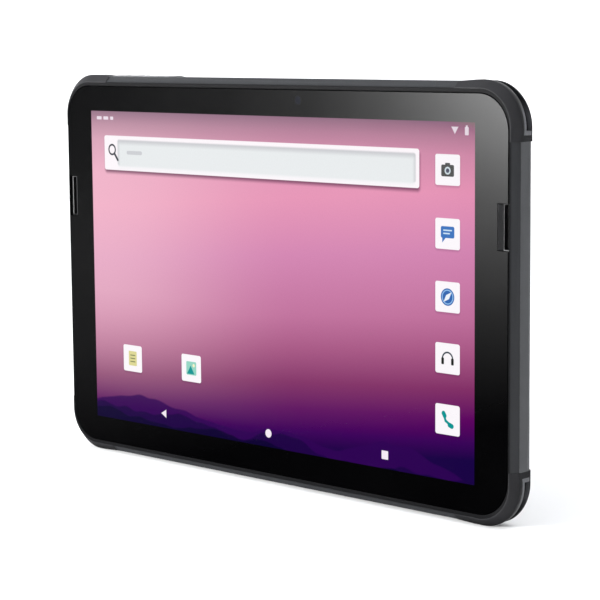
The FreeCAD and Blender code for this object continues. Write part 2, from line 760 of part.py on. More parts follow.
def card_tray():
    """A SIM card tray that slides out of its cage through the left side."""
    cap_inner = "(tray_outer - tray_cap_thick)"
    cap = block("tray_cap", "tray_cap_thick", "tray_cap_width", "tray_cap_height",
                "-(tray_outer - tray_cap_thick / 2)", "tray_depth - tray_cap_width / 2", "tray_z")
    sled = block("tray_sled", "tray_length + overlap", "tray_thick", "tray_height",
                 f"-({cap_inner} - (tray_length - overlap) / 2)", "tray_depth - tray_thick / 2", "tray_z")
    card = block("tray_card_seat", "card_length", "card_thick", "card_height",
                 f"-({cap_inner} - tray_length + card_length / 2 + card_inset)",
                 "tray_depth + tray_thick / 2 - card_thick", "tray_z")
    node(cut("card_tray", fuse("tray_solid", cap, sled), card))
    housing_tools.append(block("tray_slot", "reach", "tray_cap_width + 2 * cover_gap",
                               "tray_cap_height + 2 * cover_gap", "-(inner_width + reach - beyond) / 2",
                               "tray_depth - tray_cap_width / 2 - cover_gap", "tray_z"))
    cage_x = "(inner_width / 2 - hairline - socket_length / 2)"
    cage = block("card_cage", "socket_length", "socket_depth", "socket_height", f"-{cage_x}",
                 "tray_depth - socket_depth / 2", "tray_z")
    hollow = block("card_hollow", "socket_length", "socket_depth - 2 * socket_wall",
                   "socket_height - 2 * socket_wall", f"-{cage_x} - socket_wall",
                   "tray_depth - socket_depth / 2 + socket_wall", "tray_z")
    node(cut("card_socket", cage, hollow))


def dock():
    """Gold charging pads in an insulating block, in a shallow recess under the bottom edge."""
    floor = "-(body_height / 2 - dock_recess)"
    carrier = block("dock_carrier", "dock_width", "dock_span", "dock_height", "0", "dock_depth - dock_span / 2",
                    f"{floor} + dock_height / 2")
    pins = [rod(f"dock_pin_{number}", "pin_radius", "pin_length", f"{number} * pin_pitch", "dock_depth",
                f"{floor} - pin_proud", "up") for number in range(-4, 5)]
    housing_tools.append(block("dock_recess", "dock_width + 2 * dock_rim", "dock_span + beyond",
                               "2 * dock_recess", "0", "dock_depth - (dock_span + beyond) / 2",
                               "-body_height / 2"))
    housing_tools.append(block("dock_opening", "dock_width", "dock_span", "2 * dock_height", "0",
                               "dock_depth - dock_span / 2", "-body_height / 2"))
    node(cut("dock_block", carrier, *pins))
    node(group("dock_pins", *pins))


def battery():
    """A removable pack in a sealed bay, held by two sprung latches."""
    size = ("battery_width", "battery_height", "battery_corner")
    grown = ("battery_width + 2 * bay_gap", "battery_height + 2 * bay_gap", "battery_corner + bay_gap")
    tight = ("battery_width - 2 * seal_bite", "battery_height - 2 * seal_bite", "battery_corner - seal_bite")
    place = {"z": "battery_z"}
    cover_back = "battery_front + battery_plate"
    top = "battery_z + battery_height / 2"
    blank = dress(plate("battery_blank", *size, cover_back, "battery_back", **place), "Fillet", "battery_round",
                  "battery_back - battery_front - battery_plate")
    hollow_depth = "(battery_back - battery_skin - battery_front)"
    hollow = block("battery_hollow", "2 * (cell_width + cell_play) + cell_gap", hollow_depth,
                   "cell_height + 2 * cell_play", "0", "battery_front", "battery_z")
    groove = plate("seal_groove", "battery_width + reach", "battery_height + reach", "battery_corner",
                   "seal_front", "seal_front + seal_width", hole=tight, **place)
    scoop = plate("battery_scoop", "scoop_width", "2 * scoop_height", "scoop_height * 0.9",
                  "battery_back - scoop_depth", "thickness + beyond", z="battery_z - battery_height / 2")
    housing_tools.append(scoop)
    connector_z = f"{top} + connector_height / 2 - beyond"
    notch = block("connector_notch", "connector_width + 2 * connector_play",
                  "connector_front + connector_depth + connector_play - cavity_front + 2 * beyond",
                  "2 * (beyond + connector_play)", "0", "cavity_front - 2 * beyond", top)
    keeps = [block(f"tongue_notch_{side}", "tongue_width + 2 * tongue_play", "reach / 2", "tongue_length",
                   f"{sign} * latch_x", "latch_front - connector_play", top) for side, sign in SIDES.items()]
    node(cut("battery_case", blank, hollow, groove, scoop, notch, *keeps))
    node(cut("battery_cover", plate("battery_plate", *size, "battery_front", cover_back, **place), notch))
    cells = [block(f"cell_{side}", "cell_width", f"{hollow_depth} - battery_plate - 2 * hairline",
                   "cell_height", f"{sign} * (cell_width + cell_gap) / 2", cover_back + " + hairline",
                   "battery_z")
             for side, sign in SIDES.items()]
    node(group("battery_cells", *cells))
    node(plate("battery_seal", *grown, "seal_front", "seal_front + seal_width", hole=tight, **place))
    node(block("battery_connector", "connector_width", "connector_depth", "connector_height", "0",
               "connector_front", connector_z))
    housing_tools.append(block("connector_opening", "connector_width", "connector_depth", "reach", "0",
                               "connector_front", f"{top} + beyond"))
    housing_tools.append(plate("bay", *grown, "cavity_front - beyond / 2", "thickness + beyond", **place))
    for side, sign in SIDES.items():
        latch(side, f"{sign} * latch_x", top)


def latch(side, x, pack_top):
    """One thumb latch on the back: a ribbed pad with a tongue over the pack, a keeper and its spring."""
    front = "latch_front"
    pad_z = "latch_bottom + latch_height / 2"
    pad = block(f"latch_pad_{side}", "latch_width", "latch_thick", "latch_height", x, front, pad_z)
    tongue = block(f"latch_tongue_{side}", "tongue_width", "latch_thick - overlap",
                   "tongue_length + 2 * overlap", x, front, "latch_bottom - tongue_length / 2 + overlap")
    stem_z = "(latch_bottom + stem_rise)"
    keeper_back = "(cavity_back - hairline)"
    stem = block(f"latch_stem_{side}", "stem_width", f"{front} + overlap - {keeper_back}", "stem_height", x,
                 keeper_back, stem_z)
    ribs = [block(f"latch_rib_{side}_{number}", "latch_width - latch_rib_short", "latch_rib",
                  "latch_rib_height", x, f"{front} + latch_thick - overlap",
                  f"{pad_z} + {number} * latch_rib_pitch") for number in (-1, 0, 1)]
    node(fuse(f"battery_latch_{side}", pad, tongue, stem, *ribs))
    bar = block(f"keeper_bar_{side}", "keeper_width", "keeper_thick", "keeper_height", x,
                f"{keeper_back} - keeper_thick", stem_z)
    tab = block(f"keeper_tab_{side}", "stem_width", "keeper_tab + hairline", "keeper_tab_height", x,
                f"{keeper_back} - keeper_thick - keeper_tab",
                f"{stem_z} + (keeper_height - keeper_tab_height) / 2")
    node(fuse(f"latch_keeper_{side}", bar, tab))
    housing_tools.append(block(f"latch_recess_{side}", "latch_width + 2 * latch_gap", "reach / 2",
                               "latch_height + latch_travel + 2 * latch_gap", x, f"{front} - overlap",
                               f"{pad_z} + latch_travel / 2"))
    housing_tools.append(block(f"tongue_way_{side}", "tongue_width + 2 * latch_gap", "reach / 2", "reach", x,
                               f"{front} - overlap", f"{pack_top} + 2 * beyond"))
    housing_tools.append(block(f"stem_way_{side}", "stem_width + 2 * latch_gap", "reach / 2",
                               "stem_height + latch_travel + 2 * latch_gap", x, "cavity_back - beyond",
                               f"{stem_z} + latch_travel / 2"))
    spring_foot = f"({stem_z} + keeper_height / 2)"
    rib_front = "(spring_depth - spring_radius - spring_wire - hairline)"
    cavity_ribs.append(block(f"spring_rib_{side}", "rib_width", f"cavity_back + hairline - {rib_front}",
                             "rib_height", x, rib_front,
                             f"{spring_foot} + hairline + spring_length + rib_height / 2"))
    spring = doc.addObject("Part::Feature", f"latch_spring_{side}")
    wire = value("spring_wire")
    pitch = (value("spring_length") - 2 * wire) / value("spring_turns")
    radius = value("spring_radius")
    helix = Part.makeHelix(pitch, value("spring_length") - 2 * wire, radius)
    start = Part.Circle(Vector(radius, 0, 0), Vector(0, 1, pitch / (2 * math.pi * radius)), wire)
    spring.Shape = Part.Wire(helix).makePipeShell([Part.Wire(start.toShape())], True, True)
    settle(spring, x, "spring_depth", f"{spring_foot} + hairline / 2 + spring_wire")
    node(spring)


def cameras():
    """A rear camera and its lamp behind one window, and a camera behind the glass's top border."""
    window = ("camera_window_width", "camera_window_height", "camera_window_height / 2 - hairline")
    place = {"x": "camera_x", "z": "camera_z"}
    recess = ("camera_window_width + 2 * camera_window_gap", "camera_window_height + 2 * camera_window_gap",
              "camera_window_height / 2")
    housing_tools.append(plate("camera_recess", *recess, "camera_window_front", "thickness + beyond", **place))
    node(plate("camera_window", *window, "camera_window_front", "camera_window_front + camera_window_thick",
               **place))
    lens_x = "camera_x - camera_offset"
    flash_x = "camera_x + camera_offset"
    inside = "(cavity_back - hairline)"
    barrel_front = f"({inside} - overlap)"
    body = block("camera_body", "camera_size", f"{inside} - camera_front", "camera_size", lens_x,
                 "camera_front", "camera_z")
    barrel = rod("camera_barrel", "lens_radius", f"camera_window_front - hairline - {barrel_front}", lens_x,
                 barrel_front, "camera_z")
    node(fuse("rear_camera", body, barrel))
    node(rod("flash_lamp", "flash_radius", f"camera_window_front - hairline - {barrel_front}", flash_x,
             barrel_front, "camera_z"))
    for name, radius, x in (("lens_hole", "lens_radius + hole_gap", lens_x),
                            ("flash_hole", "flash_radius + hole_gap", flash_x),
                            ("rear_microphone", "microphone_radius", "microphone_x")):
        housing_tools.append(rod(name, radius, "reach", x, "cavity_back - beyond", "camera_z"))
    node(rod("face_camera", "face_camera_radius", "face_camera_back - glass_thick", "face_camera_x",
             "glass_thick", "face_camera_z"))
    passage = rod("face_camera_hole", "face_camera_radius + hole_gap", "reach", "face_camera_x", "glass_thick",
                  "face_camera_z")
    bezel_tools.append(passage)
    gasket_tools.append(passage)
    chassis_tools.append(passage)


def electronics():
    """The main board with its shields, chips and antennas."""
    board_back = "board_front + board_thick"
    outline = [("-board_half", "board_bottom"), ("board_half", "board_bottom"), ("board_half", "board_step_z"),
               ("board_step_x", "board_step_z"), ("board_step_x", "board_top"), ("-board_half", "board_top")]
    blank = settle(padded("board_blank", "XZ_Plane", [(polygon, (outline,))], "board_thick"), "0",
                   "board_front", "0")
    holes = []
    screws = []
    for number, (x, z) in enumerate(STUD_PLACES, start=1):
        stud = rod(f"board_stud_{number}", "stud_radius", "board_front - chassis_back + overlap", x,
                   "chassis_back - overlap", z)
        chassis_posts.append(stud)
        shank = rod(f"board_shank_{number}", "screw_radius", "board_thick + overlap", x, "board_front", z)
        holes.append(rod(f"board_hole_{number}", "screw_radius", "board_thick + 2 * beyond", x,
                         "board_front - beyond", z))
        head = rod(f"board_head_{number}", "board_screw_radius", "board_screw_height", x, board_back, z)
        screws.append(fuse(f"board_screw_{number}", shank, head))
    node(cut("main_board", blank, *holes))
    node(group("board_screws", *screws))
    cans = []
    chips = []
    for number, (x, z, wide, tall) in enumerate(SHIELDS, start=1):
        shell = block(f"shield_shell_{number}", wide, "shield_height", tall, x, board_back, z)
        inner = block(f"shield_inner_{number}", f"{wide} - 2 * shield_wall", "shield_height",
                      f"{tall} - 2 * shield_wall", x, f"{board_back} - shield_wall", z)
        cans.append(cut(f"shield_can_{number}", shell, inner))
        chips.append(block(f"chip_{number}", wide / 2, "chip_height", wide / 2, x, board_back, z))
    node(group("shield_cans", *cans))
    node(group("chips", *chips))
    node(block("gnss_antenna", "gnss_size", "gnss_thick", "gnss_size", "gnss_x", board_back, "gnss_z"))
    node(plate("contactless_coil", "coil_width", "coil_height", "coil_corner", "cavity_back - coil_thick",
               "cavity_back", z="coil_z",
               hole=("coil_width - 2 * coil_band", "coil_height - 2 * coil_band", "coil_corner / 3")))
    strips = [block(f"antenna_{number}", wide, "antenna_depth", tall, x, "cavity_front + antenna_rise", z)
              for number, (x, z, wide, tall) in enumerate(ANTENNAS, start=1)]
    node(group("radio_antennas", *strips))


def fasteners():
    """Eight housing screws into the chassis bosses."""
    screws = []
    for number, (x, z) in enumerate(SCREW_PLACES, start=1):
        boss = rod(f"boss_{number}", "boss_radius", "boss_back - chassis_back + overlap", x,
                   "chassis_back - overlap", z)
        chassis_posts.append(boss)
        shank = rod(f"shank_{number}", "screw_radius", "screw_head_front - screw_tip + overlap", x,
                    "screw_tip", z)
        chassis_tools.append(rod(f"boss_hole_{number}", "screw_radius", "reach", x, "screw_tip", z))
        head = rod(f"head_{number}", "screw_head", "screw_head_thick", x, "screw_head_front", z)
        drive = doc.addObject("Part::Prism", f"drive_{number}")
        drive.Polygon = 6
        bind(drive, Circumradius="socket_radius", Height="2 * beyond")
        settle(drive, x, "screw_head_front + screw_head_thick - socket_sink", z, Rotation(Vector(1, 0, 0), -90))
        screws.append(cut(f"screw_{number}", fuse(f"screw_blank_{number}", shank, head), drive))
        housing_tools.append(rod(f"shank_hole_{number}", "screw_radius + hairline", "reach", x,
                                 "cavity_back - beyond", z))
        housing_tools.append(rod(f"head_hole_{number}", "screw_head + hole_gap", "reach", x, "screw_head_front",
                                 z))
    node(group("housing_screws", *screws))


def shells():
    """Front bezel, chassis and rear housing, opened by what the other sub-assemblies need."""
    panel_hole = ("panel_width + 2 * window_gap", "panel_height + 2 * window_gap", "window_corner")
    bezel = dress(case_plate("bezel_blank", "0", "0", "bezel_depth"), "Chamfer", "bezel_chamfer", "0")
    grown = ("glass_width + 2 * glass_gap", "glass_height + 2 * glass_gap", "glass_corner + glass_gap")
    bezel_tools.append(plate("glass_seat", *grown, "-beyond", "glass_thick + bond_thick"))
    bezel_tools.append(plate("bezel_window", *panel_hole, "-beyond", "bezel_depth + beyond"))
    node(cut("front_bezel", bezel, *bezel_tools))
    inner = ("inner_width", "inner_height", "inner_corner")
    slab = plate("chassis_slab", "chassis_width", "chassis_height", "chassis_corner", "bezel_depth",
                 "chassis_back")
    chassis_tools.append(plate("panel_pocket", *panel_hole, "bezel_depth - beyond",
                               "glass_thick + bond_thick + panel_thick + backlight_thick"))
    node(cut("chassis", fuse("chassis_solid", slab, *chassis_posts), *chassis_tools))
    back = "thickness - back_step"
    blank = dress(case_plate("housing_blank", "0", "bezel_depth", back), "Fillet", "back_round",
                  f"{back} - bezel_depth")
    tray = plate("cavity_tray", *inner, "bezel_depth - beyond", "cavity_front")
    room = "cavity_back - cavity_front + beyond"
    wide = block("cavity_wide", "inner_width", room, "2 * corner_block_z", "0", "cavity_front - beyond")
    tall = block("cavity_tall", "2 * corner_block_x", room, "inner_height", "0", "cavity_front - beyond")
    housing_tools.append(plate("label_recess", "label_width", "label_height", "label_corner",
                               f"{back} - label_depth", "thickness + beyond", z="label_z"))
    bay_wall = plate("bay_wall", "battery_width + 2 * (bay_gap + bay_wall)",
                     "battery_height + 2 * (bay_gap + bay_wall)", "battery_corner + bay_gap + bay_wall",
                     "cavity_front", "cavity_back + beyond", z="battery_z")
    cavity = cut("cavity", fuse("cavity_blank", tray, wide, tall), bay_wall, *cavity_ribs)
    hollowed = cut("housing_hollowed", fuse("housing_ridged", blank, *housing_ridges), cavity)
    node(cut("rear_housing", hollowed, *housing_tools))


def check_document():
    """Stops if any object failed, or any sub-part is empty or not a sound solid."""
    for thing in doc.Objects:
        if {"Invalid", "Error"} & set(thing.State):
            raise RuntimeError(f"{thing.Label} failed: {thing.State}")
    for thing in nodes:
        if thing.Shape.isNull() or not thing.Shape.isValid() or not thing.Shape.Solids:
            raise RuntimeError(f"{thing.Label} is not a sound solid")


def export():
    """Writes each sub-part to a file of its own."""
    os.makedirs("parts", exist_ok=True)
    for thing in nodes:
        thing.Shape.exportStep(f"parts/{thing.Label}.step")
        print(f"{thing.Label:28s} {len(thing.Shape.Solids):3d} solids {thing.Shape.Volume:10.1f} mm3")


speakers()
corners()
keys()
usb_port()
headset_jack()
card_tray()
dock()
battery()
cameras()
electronics()
fasteners()
display()
shells()
doc.recompute()
check_document()
export()
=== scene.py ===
"""Looks for the rugged tablet data collector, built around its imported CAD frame."""

import json
import math

import bmesh
import bpy
from mathutils import Euler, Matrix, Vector


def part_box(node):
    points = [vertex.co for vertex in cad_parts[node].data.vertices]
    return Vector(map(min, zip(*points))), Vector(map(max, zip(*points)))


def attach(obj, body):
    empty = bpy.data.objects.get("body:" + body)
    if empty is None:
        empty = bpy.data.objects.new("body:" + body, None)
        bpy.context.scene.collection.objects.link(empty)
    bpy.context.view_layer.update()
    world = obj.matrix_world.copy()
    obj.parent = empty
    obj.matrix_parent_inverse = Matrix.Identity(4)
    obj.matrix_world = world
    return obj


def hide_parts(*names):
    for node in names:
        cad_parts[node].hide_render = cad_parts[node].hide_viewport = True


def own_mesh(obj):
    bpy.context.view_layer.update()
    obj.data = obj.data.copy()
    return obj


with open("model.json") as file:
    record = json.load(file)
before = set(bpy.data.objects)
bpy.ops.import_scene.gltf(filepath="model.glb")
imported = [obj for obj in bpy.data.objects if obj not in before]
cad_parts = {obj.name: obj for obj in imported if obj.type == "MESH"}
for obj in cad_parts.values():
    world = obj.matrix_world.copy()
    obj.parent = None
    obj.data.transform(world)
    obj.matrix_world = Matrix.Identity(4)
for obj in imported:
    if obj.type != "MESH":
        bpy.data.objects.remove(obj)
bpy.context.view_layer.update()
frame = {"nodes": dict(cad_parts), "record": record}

MM = 0.001
GLASS_LOW, GLASS_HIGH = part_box("cover_glass")
SCREEN_MIDDLE = Vector((0, 0, (GLASS_LOW[2] + GLASS_HIGH[2]) / 2))

# Outlines are drawn in millimetres from the display's middle.
HALF_WIDTH, HALF_HEIGHT = 108.5, 67.8       # the lit part of the display
LIP_HALF_WIDTH, LIP_HALF_HEIGHT, LIP_CORNER = 124.9, 80.3, 14.6     # the bezel's flat lip
FOOT_START, FOOT_END = -76, -81             # the lowest edge, where the gloss goes
END_SHADE_START, END_SHADE_END = 70, 77               # where painted shade darkens the strap anchors towards the long edges
TILE_COLUMN = 95.4                          # the right-hand column of symbols


def middle(node):
    """The middle of a CAD part as (across, up), in millimetres from the display's middle."""
    low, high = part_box(node)
    return (low[0] + high[0]) / 2 / MM, ((low[2] + high[2]) / 2 - SCREEN_MIDDLE.z) / MM


def srgb(red, green, blue):
    """A display colour, 0 to 255, as the linear colour that a shader takes."""
    def linear(level):
        level /= 255
        return level / 12.92 if level <= 0.04045 else ((level + 0.055) / 1.055) ** 2.4
    return (linear(red), linear(green), linear(blue), 1.0)


class Tree:
    """A material and its nodes, with a short method for each kind of node."""

    def __init__(self, name):
        self.material = bpy.data.materials.new(name)
        self.material.use_nodes = True
        self.nodes = self.material.node_tree.nodes
        self.links = self.material.node_tree.links
        self.nodes.clear()
        output = self.nodes.new("ShaderNodeOutputMaterial")
        self.shader = self.nodes.new("ShaderNodeBsdfPrincipled")
        self.links.new(self.shader.outputs["BSDF"], output.inputs["Surface"])
        self.place = self.nodes.new("ShaderNodeTexCoord").outputs["Object"]

    def put(self, socket, value):
        """Links a socket to another node's output, or sets its number."""
        if isinstance(value, bpy.types.NodeSocket):
            self.links.new(value, socket)
        else:
            socket.default_value = value

    def math(self, operation, *values, clamp=False):
        """Arithmetic on numbers or on other nodes' outputs."""
        node = self.nodes.new("ShaderNodeMath")
        node.operation = operation
        node.use_clamp = clamp
        for socket, value in zip(node.inputs, values):
            self.put(socket, value)
        return node.outputs[0]

    def vector(self, operation, *values):
        """Arithmetic on vectors; lengths, distances and dot products come out as numbers."""
        node = self.nodes.new("ShaderNodeVectorMath")
        node.operation = operation
        for socket, value in zip(node.inputs, values):
            self.put(socket, value)
        return node.outputs["Value" if operation in ("LENGTH", "DOT_PRODUCT", "DISTANCE") else "Vector"]

    def scaled(self, vector, factor):
        """A vector times a number."""
        node = self.nodes.new("ShaderNodeVectorMath")
        node.operation = "SCALE"
        self.put(node.inputs[0], vector)
        self.put(node.inputs["Scale"], factor)
        return node.outputs["Vector"]

    def split(self, vector):
        """A vector's three parts."""
        node = self.nodes.new("ShaderNodeSeparateXYZ")
        self.put(node.inputs[0], vector)
        return node.outputs[0], node.outputs[1], node.outputs[2]

    def noise(self, scale, detail=3.0, roughness=0.5, place=None):
        """Cloudy noise around 0.5, in object space unless a place is given."""
        node = self.nodes.new("ShaderNodeTexNoise")
        self.put(node.inputs["Vector"], place or self.place)
        node.inputs["Scale"].default_value = scale
        node.inputs["Detail"].default_value = detail
        node.inputs["Roughness"].default_value = roughness
        return node.outputs["Fac"]

    def range(self, value, low, high, to_low=0.0, to_high=1.0, smooth=False):
        """Maps the span low..high onto to_low..to_high, and holds the end values beyond it."""
        node = self.nodes.new("ShaderNodeMapRange")
        node.interpolation_type = "SMOOTHSTEP" if smooth else "LINEAR"
        for socket, number in zip(node.inputs, (value, low, high, to_low, to_high)):
            self.put(socket, number)
        return node.outputs["Result"]

    def ramp(self, value, stops):
        """A colour from (position, colour) stops between 0 and 1."""
        node = self.nodes.new("ShaderNodeValToRGB")
        self.put(node.inputs[0], value)
        elements = node.color_ramp.elements
        while len(elements) < len(stops):
            elements.new(0.5)
        for element, (position, colour) in zip(elements, stops):
            element.position = position
            element.color = colour
        return node.outputs["Color"]

    def mix(self, factor, first, second):
        """The first colour at 0, the second at 1."""
        node = self.nodes.new("ShaderNodeMix")
        node.data_type = "RGBA"     # its sockets 6, 7 and output 2 are the colour ones
        self.put(node.inputs[0], factor)
        self.put(node.inputs[6], first)
        self.put(node.inputs[7], second)
        return node.outputs[2]

    def bump(self, height, distance, strength):
        """Fine relief on the whole surface."""
        node = self.nodes.new("ShaderNodeBump")
        node.inputs["Distance"].default_value = distance
        node.inputs["Strength"].default_value = strength
        self.put(node.inputs["Height"], height)
        self.put(self.shader.inputs["Normal"], node.outputs["Normal"])

    def edge(self, radius):
        """How near a sharp edge of the same object is: 0 on the flat, rising towards 1."""
        rounded = self.nodes.new("ShaderNodeBevel")
        rounded.samples = 4
        rounded.inputs["Radius"].default_value = radius
        flat = self.nodes.new("ShaderNodeNewGeometry")
        agreement = self.vector("DOT_PRODUCT", rounded.outputs["Normal"], flat.outputs["Normal"])
        return self.range(agreement, 0.995, 0.8)


class Picture(Tree):
    """A material with places on the object's front, in millimetres from the display's middle.

    Its shapes are distances: below zero inside an outline, above zero outside.
    """

    def __init__(self, name):
        super().__init__(name)
        shifted = self.vector("SUBTRACT", self.place, SCREEN_MIDDLE)
        self.spot = self.vector("MULTIPLY", shifted, (1 / MM, 0, 1 / MM))
        self.x, _, self.z = self.split(self.spot)
        self.colour = srgb(0, 0, 0)

    def box(self, x, z, half_x, half_z, radius):
        """A rectangle with rounded corners."""
        offset = self.vector("ABSOLUTE", self.vector("SUBTRACT", self.spot, (x, 0, z)))
        over = self.vector("SUBTRACT", offset, (half_x - radius, 0, half_z - radius))
        away = self.vector("LENGTH", self.vector("MAXIMUM", over, (0, 0, 0)))
        return self.math("SUBTRACT", away, radius)

    def ring(self, x, z, radius, half_width):
        """A circle's line."""
        away = self.vector("DISTANCE", self.spot, (x, 0, z))
        return self.math("SUBTRACT", self.math("ABSOLUTE", self.math("SUBTRACT", away, radius)), half_width)

    def disc(self, x, z, radius):
        """A filled circle."""
        return self.math("SUBTRACT", self.vector("DISTANCE", self.spot, (x, 0, z)), radius)

    def line(self, x1, z1, x2, z2, half_width):
        """A straight stroke with round ends."""
        start, run = Vector((x1, 0, z1)), Vector((x2 - x1, 0, z2 - z1))
        offset = self.vector("SUBTRACT", self.spot, start)
        share = self.math("DIVIDE", self.vector("DOT_PRODUCT", offset, run), run.length_squared, clamp=True)
        away = self.vector("LENGTH", self.vector("SUBTRACT", offset, self.scaled(run, share)))
        return self.math("SUBTRACT", away, half_width)

    def polygon(self, points):
        """A convex outline, its points in clockwise order as seen on the screen."""
        furthest = None
        for (x1, z1), (x2, z2) in zip(points, points[1:] + points[:1]):
            outward = Vector((-(z2 - z1), 0, x2 - x1)).normalized()
            side = self.math("SUBTRACT", self.vector("DOT_PRODUCT", self.spot, outward),
                             outward.dot(Vector((x1, 0, z1))))
            furthest = side if furthest is None else self.math("MAXIMUM", furthest, side)
        return furthest

    def above(self, distance, height):
        """A shape cut off below a height."""
        return self.math("MAXIMUM", distance, self.math("SUBTRACT", height, self.z))

    def paint(self, distance, colour, opacity=1.0, soft=0.12):
        """Lays a colour over the picture inside a shape, with an edge that fades over soft."""
        cover = self.range(distance, -soft, soft, opacity, 0.0, smooth=True)
        self.colour = self.mix(cover, self.colour, colour)


# ---------------------------------------------------------------- materials

def times(colour, factor):
    """The same colour, lighter or darker."""
    return [channel * factor for channel in colour[:3]] + [1]


def moulded(slot, colour, rough, rubbed, grain=0.02, wear=0.5, drift=0.08, gloss=0.35, lip_shade=None,
            recess_shade=0.0, dull_foot=False, ends=None):
    """A moulded plastic or rubber: a grain in millimetres, slow drift of tone, and rubbed, lighter edges.

    lip is the tone of a painted shade on the matt band next to the cover glass, grime how far narrow
    recesses are darkened with painted shade, and ends the tone of a painted shade along the case's long
    edges. dull_foot takes the gloss off the lowest edge, where the case stands.
    """
    tree = Picture("look_" + slot)
    shine = tree.range(tree.z, FOOT_START, FOOT_END, gloss, gloss * 0.3) if dull_foot else gloss
    slow = tree.noise(140, 5)
    fine = tree.noise(2600, 2)
    tone = tree.mix(tree.range(slow, 0.3, 0.7), times(colour, 1 - drift), times(colour, 1 + drift))
    scuffs = tree.range(tree.noise(420, 5, 0.65), 0.42, 0.62)
    worn = tree.math("MULTIPLY", tree.edge(0.45 * MM), tree.math("MULTIPLY", scuffs, wear))
    # painted shade: the tone darkens towards the case's top and bottom edges
    if ends:
        end_shade_mask = tree.range(tree.math("ABSOLUTE", tree.z), END_SHADE_START, END_SHADE_END, smooth=True)
        tone = tree.mix(end_shade_mask, tone, ends)
    # painted shade: a dark, less glossy band on the bezel next to the cover glass
    if lip_shade:
        inside = tree.box(0, 0, LIP_HALF_WIDTH, LIP_HALF_HEIGHT, LIP_CORNER)
        band = tree.range(inside, -0.35, 0.55, 1.0, 0.0, smooth=True)
        worn = tree.math("MULTIPLY", worn, tree.math("SUBTRACT", 1.0, band))
        tone = tree.mix(band, tone, lip_shade)
        shine = tree.math("MULTIPLY", shine, tree.range(band, 0.0, 1.0, 1.0, 0.1))
    colour = tree.mix(worn, tone, rubbed)
    # painted shade: an occlusion mask darkens narrow recesses towards near black
    if recess_shade:
        recess = tree.nodes.new("ShaderNodeAmbientOcclusion")
        recess.samples = 6
        recess.inputs["Distance"].default_value = 6 * MM
        recess_shade_mask = tree.range(recess.outputs["AO"], 0.5, 0.12, 0.0, recess_shade, smooth=True)
        colour = tree.mix(recess_shade_mask, colour, srgb(4, 4, 4))
    tree.put(tree.shader.inputs["Base Color"], colour)
    roughness = tree.math("ADD", tree.range(fine, 0.3, 0.7, rough - 0.06, rough + 0.06),
                          tree.math("MULTIPLY", worn, -0.2))
    tree.put(tree.shader.inputs["Roughness"], roughness)
    tree.put(tree.shader.inputs["Specular IOR Level"], shine)
    tree.bump(fine, grain * MM, 0.6)
    return tree.material


def metal(slot, colour, rough, stretch=(1, 1, 1), scale=900):
    """A bare or plated metal, its fine scratches drawn out along the axis with the smallest stretch."""
    tree = Tree("look_" + slot)
    drawn = tree.vector("MULTIPLY", tree.place, stretch)
    lines = tree.noise(scale, 3, 0.6, drawn)
    cloud = tree.noise(120, 3)
    tone = tree.mix(tree.range(cloud, 0.3, 0.7), times(colour, 0.82), colour)
    tree.put(tree.shader.inputs["Base Color"], tone)
    tree.put(tree.shader.inputs["Roughness"], tree.range(lines, 0.3, 0.7, rough - 0.08, rough + 0.1))
    tree.shader.inputs["Metallic"].default_value = 1.0
    tree.bump(lines, 0.006 * MM, 0.5)
    return tree.material


def dark_glass(slot, colour):
    """A dark, coated optical window with faint smears."""
    tree = Tree("look_" + slot)
    smear = tree.noise(90, 5, 0.6)
    tone = tree.mix(tree.range(smear, 0.35, 0.7), colour, times(colour, 1.6))
    tree.put(tree.shader.inputs["Base Color"], tone)
    tree.put(tree.shader.inputs["Roughness"], tree.range(smear, 0.35, 0.75, 0.03, 0.1))
    tree.shader.inputs["IOR"].default_value = 1.45
    return tree.material


def laminate(slot, mask, trace):
    """A circuit board's solder mask over copper tracks."""
    tree = Tree("look_" + slot)
    cells = tree.nodes.new("ShaderNodeTexVoronoi")
    cells.distance = "MANHATTAN"
    cells.feature = "DISTANCE_TO_EDGE"
    cells.inputs["Scale"].default_value = 420
    tree.put(cells.inputs["Vector"], tree.place)
    tracks = tree.range(cells.outputs["Distance"], 0.06, 0.1, 1.0, 0.0)
    tree.put(tree.shader.inputs["Base Color"], tree.mix(tracks, mask, trace))
    tree.put(tree.shader.inputs["Roughness"], tree.range(tree.noise(700), 0.3, 0.7, 0.28, 0.42))
    tree.bump(tracks, 0.03 * MM, 0.5)
    return tree.material


